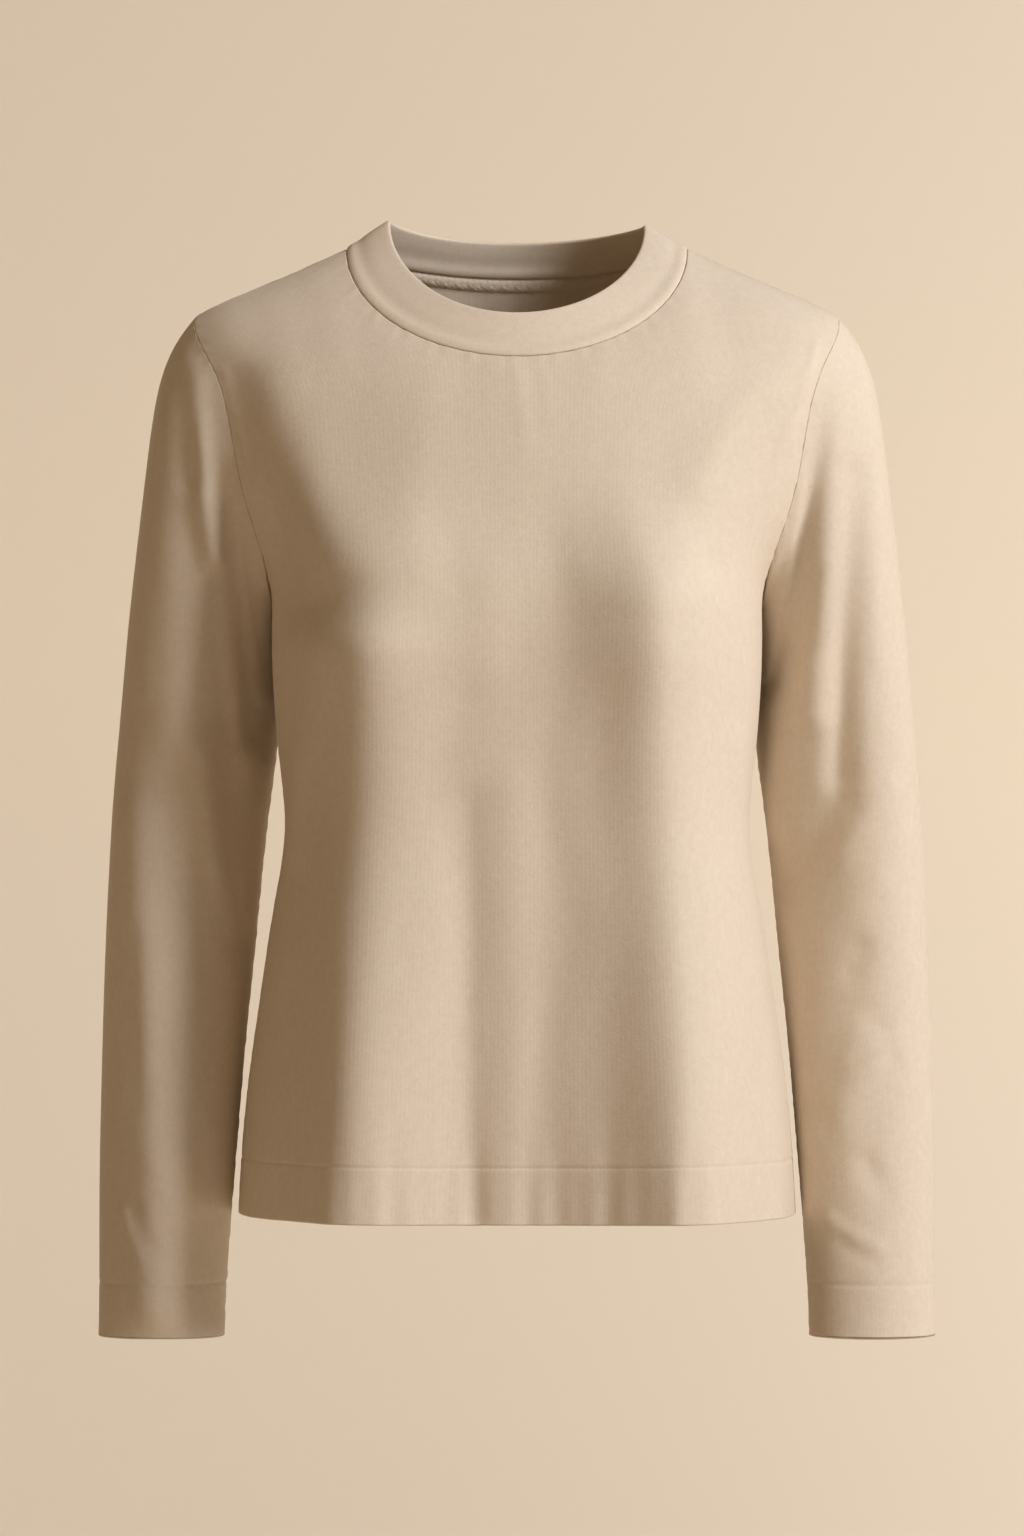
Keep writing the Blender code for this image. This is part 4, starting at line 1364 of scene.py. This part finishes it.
@dataclass(frozen=True)
class Neckband:
    """The band folded double along its top edge, closed in a ring by a short join."""

    form: BandForm
    # Painted light: the band's jersey is painted lighter than the body's, standing in for light that the
    # lamps leave off the band, most of all off its inner face.
    finish: Finish = JerseyFinish("band_jersey_painted_light", dark=(0.705, 0.585, 0.445), light=(0.830, 0.710, 0.570))
    seam: Seam = Seam()
    allowance: float = 0.0010
    wall: float = 0.0026
    columns: int = 241
    rows: int = 20
    fold_steps: int = 8
    fold_from: float = 0.945
    join: float = -0.21
    outside: tuple[tuple[float, float], ...] = (
        (0.00, -0.0001), (0.05, 0.0004), (0.12, 0.0007), (0.20, 0.0004),
        (0.28, 0.0001), (0.45, 0.0003), (0.72, 0.0003), (1.00, 0.0000),
    )
    inside: tuple[tuple[float, float], ...] = (
        (0.00, 0.0000), (0.07, 0.0005), (0.16, 0.0006), (0.28, 0.0001), (0.60, 0.0002), (1.00, 0.0000),
    )

    def profile(self, width: float) -> tuple[Array, Array, Array]:
        """Lists the band's section from its outer seam edge over the fold to its inner one.

        Args:
            width: the band's mean width.

        Returns:
            Each row's share of the width, its offset off the outer face, and its roll into the seam.
        """
        near = np.array(self.seam.lines) / width
        share = np.concatenate([near, np.linspace(near[-1], self.fold_from, self.rows)[1:-1]])
        bend = np.linspace(0, math.pi, self.fold_steps + 1)
        over = self.fold_from + (1 - self.fold_from) * np.sin(bend)
        outer = Spline(*zip(*self.outside))(share)
        inner = -self.wall - Spline(*zip(*self.inside))(share)
        roll = self.seam.dip(share * width)
        shares = np.concatenate([share, over, share[::-1]])
        offsets = np.concatenate([outer, self.wall / 2 * (np.cos(bend) - 1), inner[::-1]])
        rolls = np.concatenate([roll, 0 * bend, -roll[::-1]])
        return shares, offsets, rolls

    def build(self) -> bpy.types.Object:
        """Builds the band and returns it."""
        turn = np.linspace(self.join, self.join + 2 * math.pi, self.columns)[None]
        rise = self.form.rise(turn)
        out = self.form.outward(turn)
        share, offset, roll = self.profile(float(np.linalg.norm(rise, axis=-1).mean()))
        seam = self.form.body.neck(turn)
        points = seam + rise * share[:, None, None] + out * (offset - roll)[:, None, None]
        first = points[:1] + self.form.inward(turn) * self.allowance
        points = np.concatenate([first, points])
        facing = np.sign(len(share) // 2 - np.arange(-1, len(share)))
        cloth = Cloth(points, out * facing[:, None, None])
        cloth.lay_flat()
        return cloth.build("neckband", self.finish, "folded")


@dataclass(frozen=True)
class NeckTape:
    """A strip laid over the neck seam's allowance, inside the back."""

    form: BodyForm
    face: Face = Face.BACK
    node: str = "back_neck_tape"
    finish: Finish = JerseyFinish("tape_jersey")
    stitched_row: int = 2
    thickness: float = 0.0005
    top: float = 0.0008
    width: float = 0.0087
    under: float = 0.0012
    crown: float = 0.0016
    crown_power: int = 3
    pucker: float = 0.00028
    pucker_length: float = 0.0034
    pucker_seed: float = 2.0
    pucker_sway: float = 0.002
    sway_turn: float = 9.0
    edge_pucker: float = 0.35
    columns: int = 420
    rows: int = 15
    end: float = 0.03

    def build(self) -> bpy.types.Object:
        """Builds the strip and the stitches along its lower edge, and returns the strip."""
        turn = self.face.value * np.linspace(self.end, math.pi - self.end, self.columns)[None]
        theta, height = self.form.neck_path(turn)
        seam, seam_out = self.form.neck(turn), normals(self.form.folded, theta, height)
        tangent = self.form.neck(turn + TINY) - self.form.neck(turn - TINY)
        down = unit(np.cross(seam_out, tangent))
        share = np.linspace(1, 0, self.rows)[:, None]
        below = seam + down * (self.top + self.width * share)[..., None]
        out = normals(self.form.folded, self.form.angle(below, self.face), below[..., 2])
        base = self.form.folded(self.form.angle(below, self.face), below[..., 2])
        along = run_along(seam, 1) + self.pucker_sway * np.sin(self.sway_turn * share)
        arch = 1 - np.abs(2 * share - 1) ** self.crown_power
        wave = self.pucker * ripple(along, self.pucker_length, self.pucker_seed)
        swell = self.edge_pucker + (1 - self.edge_pucker) * arch
        lift = self.under + self.crown * arch + wave * swell
        cloth = Cloth(base - out * lift[..., None], -out, thickness=self.thickness)
        cloth.lay_flat()
        line = self.stitched_row
        stitches = StitchRow(self.node).build(cloth.points[line], -out[line])
        return cloth.build(self.node, self.finish, "gathered", [stitches])


@dataclass(frozen=True)
class StitchRow:
    """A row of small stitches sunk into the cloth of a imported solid's piece."""

    node: str
    finish: ThreadFinish = ThreadFinish()
    pitch: float = 0.0029
    length: float = 0.0023
    width: float = 0.00042
    height: float = 0.00030
    end_bend: float = 0.5
    bend_power: int = 4
    sink: float = 0.00004
    sides: int = 6

    def stitch(self) -> tuple[Array, list[tuple[int, ...]]]:
        """Shapes one stitch along X, its ends bent down into the cloth.

        Returns:
            Its points and faces.
        """
        bpy.ops.object.select_all(action="DESELECT")
        bpy.ops.mesh.primitive_uv_sphere_add(segments=self.sides, ring_count=self.sides, radius=0.5)
        bpy.ops.object.mode_set(mode="EDIT")
        bpy.ops.mesh.select_all(action="SELECT")
        bpy.ops.transform.rotate(value=math.pi / 2, orient_axis="Y", center_override=(0, 0, 0))
        bpy.ops.transform.resize(value=(self.length, self.width, self.height))
        bpy.ops.object.mode_set(mode="OBJECT")
        shape = bpy.context.active_object
        points = np.array([vertex.co[:] for vertex in shape.data.vertices])
        points[:, 2] -= self.end_bend * self.height * (2 * points[:, 0] / self.length) ** self.bend_power
        faces = [tuple(face.vertices) for face in shape.data.polygons]
        bpy.data.objects.remove(shape)
        return points, faces

    def build(self, points: Array, out: Array) -> bpy.types.Object:
        """Lays stitches along a line.

        Args:
            points: the line's points.
            out: the cloth's normals there.

        Returns:
            The joined stitches.
        """
        shape, faces = self.stitch()
        run = run_along(points[None], 1)[0]
        length = run[-1] - 2 * self.pitch
        count = max(1, int(length / self.pitch))
        at = self.pitch + (np.arange(count) + 0.5) * length / count
        middle = between(at, run, points)
        normal = unit(between(at, run, out))
        forward = unit(between(at + self.length / 2, run, points) - middle)
        turned = shape @ np.stack([forward, np.cross(normal, forward), normal], 1)
        places = turned + (middle - normal * self.sink)[:, None]
        faces = [[i * len(shape) + v for v in face] for i in range(count) for face in faces]
        flat = np.tile(shape[:, :2], (count, 1))
        piece = make_piece(self.node + "_stitches", places.reshape(-1, 3), faces, flat, self.finish)
        return piece


class Lamp(NamedTuple):
    """A square soft light: its place, its sides' length, its power in watts, its colour and its aim."""

    name: str
    place: Triple
    size: float
    power: float
    colour: Triple
    aim: Triple = (0.0, 0.0, -0.3)

    def build(self) -> None:
        """Adds the light, turned to its aim."""
        light = bpy.data.lights.new(self.name, "AREA")
        light.size = self.size
        light.energy = self.power
        light.color = self.colour
        holder = bpy.data.objects.new(self.name, light)
        holder.location = self.place
        way = Vector(self.aim) - Vector(self.place)
        holder.rotation_euler = way.to_track_quat("-Z", "Y").to_euler()
        bpy.context.scene.collection.objects.link(holder)


@dataclass(frozen=True)
class Studio:
    """The plain pale sweep, the soft lights and the camera."""

    finish: Finish = BackdropFinish()
    floor: float = -1.15
    wall: float = 1.7
    half_width: float = 9.0
    half_depth: float = 5.0
    height: float = 5.0
    curve: float = 0.9
    curve_steps: int = 24
    near: float = 0.01
    eye: Triple = (-0.003, -4.0, -0.317)
    frame_height: float = 0.937
    sensor: float = 36.0
    far: float = 50.0
    haze: Triple = (1.0, 0.60, 0.28)
    haze_strength: float = 0.04
    lamps: tuple[Lamp, ...] = (
        Lamp("key", (2.45, -1.60, 1.32), 1.2, 113.0, (0.925, 0.935, 0.975)),
        Lamp("top", (-0.9, -1.4, 2.7), 1.0, 12.0, (1.0, 0.80, 0.54)),
        Lamp("fill", (-3.2, -2.2, -0.2), 2.5, 9.0, (1.0, 0.63, 0.31)),
        Lamp("front", (1.2, -3.7, 0.0), 1.2, 4.0, (1.0, 0.84, 0.64)),
        Lamp("wall_right", (1.3, 0.6, -0.6), 1.0, 5.0, (1.0, 0.95, 0.87), (1.0, 1.7, -0.6)),
        Lamp("wall_left", (-1.3, 0.6, -0.3), 1.0, 3.5, (1.0, 0.95, 0.87), (-1.0, 1.7, -0.3)),
    )

    def edit_edges(self, mesh: bpy.types.Mesh, chosen: Callable[[Vector], bool]) -> None:
        """Opens a mesh for editing with only the edges selected whose two ends are chosen.

        Args:
            mesh: the active object's mesh.
            chosen: says whether a place is chosen.
        """
        for vertex in mesh.vertices:
            vertex.select = chosen(vertex.co)
        for edge in mesh.edges:
            edge.select = all(mesh.vertices[end].select for end in edge.vertices)
        for polygon in mesh.polygons:
            polygon.select = False
        bpy.ops.object.mode_set(mode="EDIT")
        bpy.ops.mesh.select_mode(type="EDGE")

    def build_sweep(self) -> None:
        """Builds the floor that curves up into the wall."""
        back = self.wall - self.near
        bpy.ops.object.select_all(action="DESELECT")
        bpy.ops.mesh.primitive_plane_add(size=2, location=(0, 0, 0))
        bpy.ops.object.mode_set(mode="EDIT")
        bpy.ops.mesh.select_all(action="SELECT")
        bpy.ops.transform.resize(value=(self.half_width, self.half_depth, 1.0))
        bpy.ops.transform.translate(value=(0.0, self.wall - self.half_depth, self.floor))
        bpy.ops.object.mode_set(mode="OBJECT")
        sweep = bpy.context.active_object
        sweep.name = "studio_sweep"
        self.edit_edges(sweep.data, lambda place: place.y > back)
        bpy.ops.mesh.extrude_region_move(TRANSFORM_OT_translate={"value": (0.0, 0.0, self.height)})
        bpy.ops.object.mode_set(mode="OBJECT")
        self.edit_edges(sweep.data, lambda place: place.y > back and place.z < self.floor + self.near)
        bpy.ops.mesh.bevel(offset=self.curve, segments=self.curve_steps, profile=0.5)
        bpy.ops.object.mode_set(mode="OBJECT")
        sweep.data.shade_smooth()
        sweep.data.materials.clear()
        sweep.data.materials.append(self.finish.material())

    def build_camera(self) -> None:
        """Builds the camera, level and facing the top's front."""
        camera = bpy.data.cameras.new("camera")
        camera.sensor_width = self.sensor
        camera.lens = self.sensor * -self.eye[1] / self.frame_height
        camera.clip_end = self.far
        holder = bpy.data.objects.new("camera", camera)
        holder.location = self.eye
        holder.rotation_euler = (math.pi / 2, 0.0, 0.0)
        bpy.context.scene.collection.objects.link(holder)
        bpy.context.scene.camera = holder

    def build(self) -> None:
        """Builds the sweep, lights, world and camera."""
        self.build_sweep()
        for lamp in self.lamps:
            lamp.build()
        world = bpy.data.worlds.new("studio")
        world.use_nodes = True
        ground = world.node_tree.nodes["Background"]
        ground.inputs["Color"].default_value = (*self.haze, 1.0)
        ground.inputs["Strength"].default_value = self.haze_strength
        bpy.context.scene.world = world
        bpy.context.scene.view_settings.view_transform = "Standard"
        self.build_camera()


def main() -> None:
    """Builds the top, dresses it and sets up the studio."""
    body = BodyForm()
    band = BandForm(body)
    sleeves = {side: SleeveForm(body, side) for side in Side}
    for face in Face:
        BodyPanel(body, face, sleeves, band).build()
    for form in sleeves.values():
        Sleeve(form).build()
    Neckband(band).build()
    NeckTape(body).build()
    Studio().build()


if __name__ == "__main__":
    logging.basicConfig(level=logging.INFO, format="%(message)s")
    main()
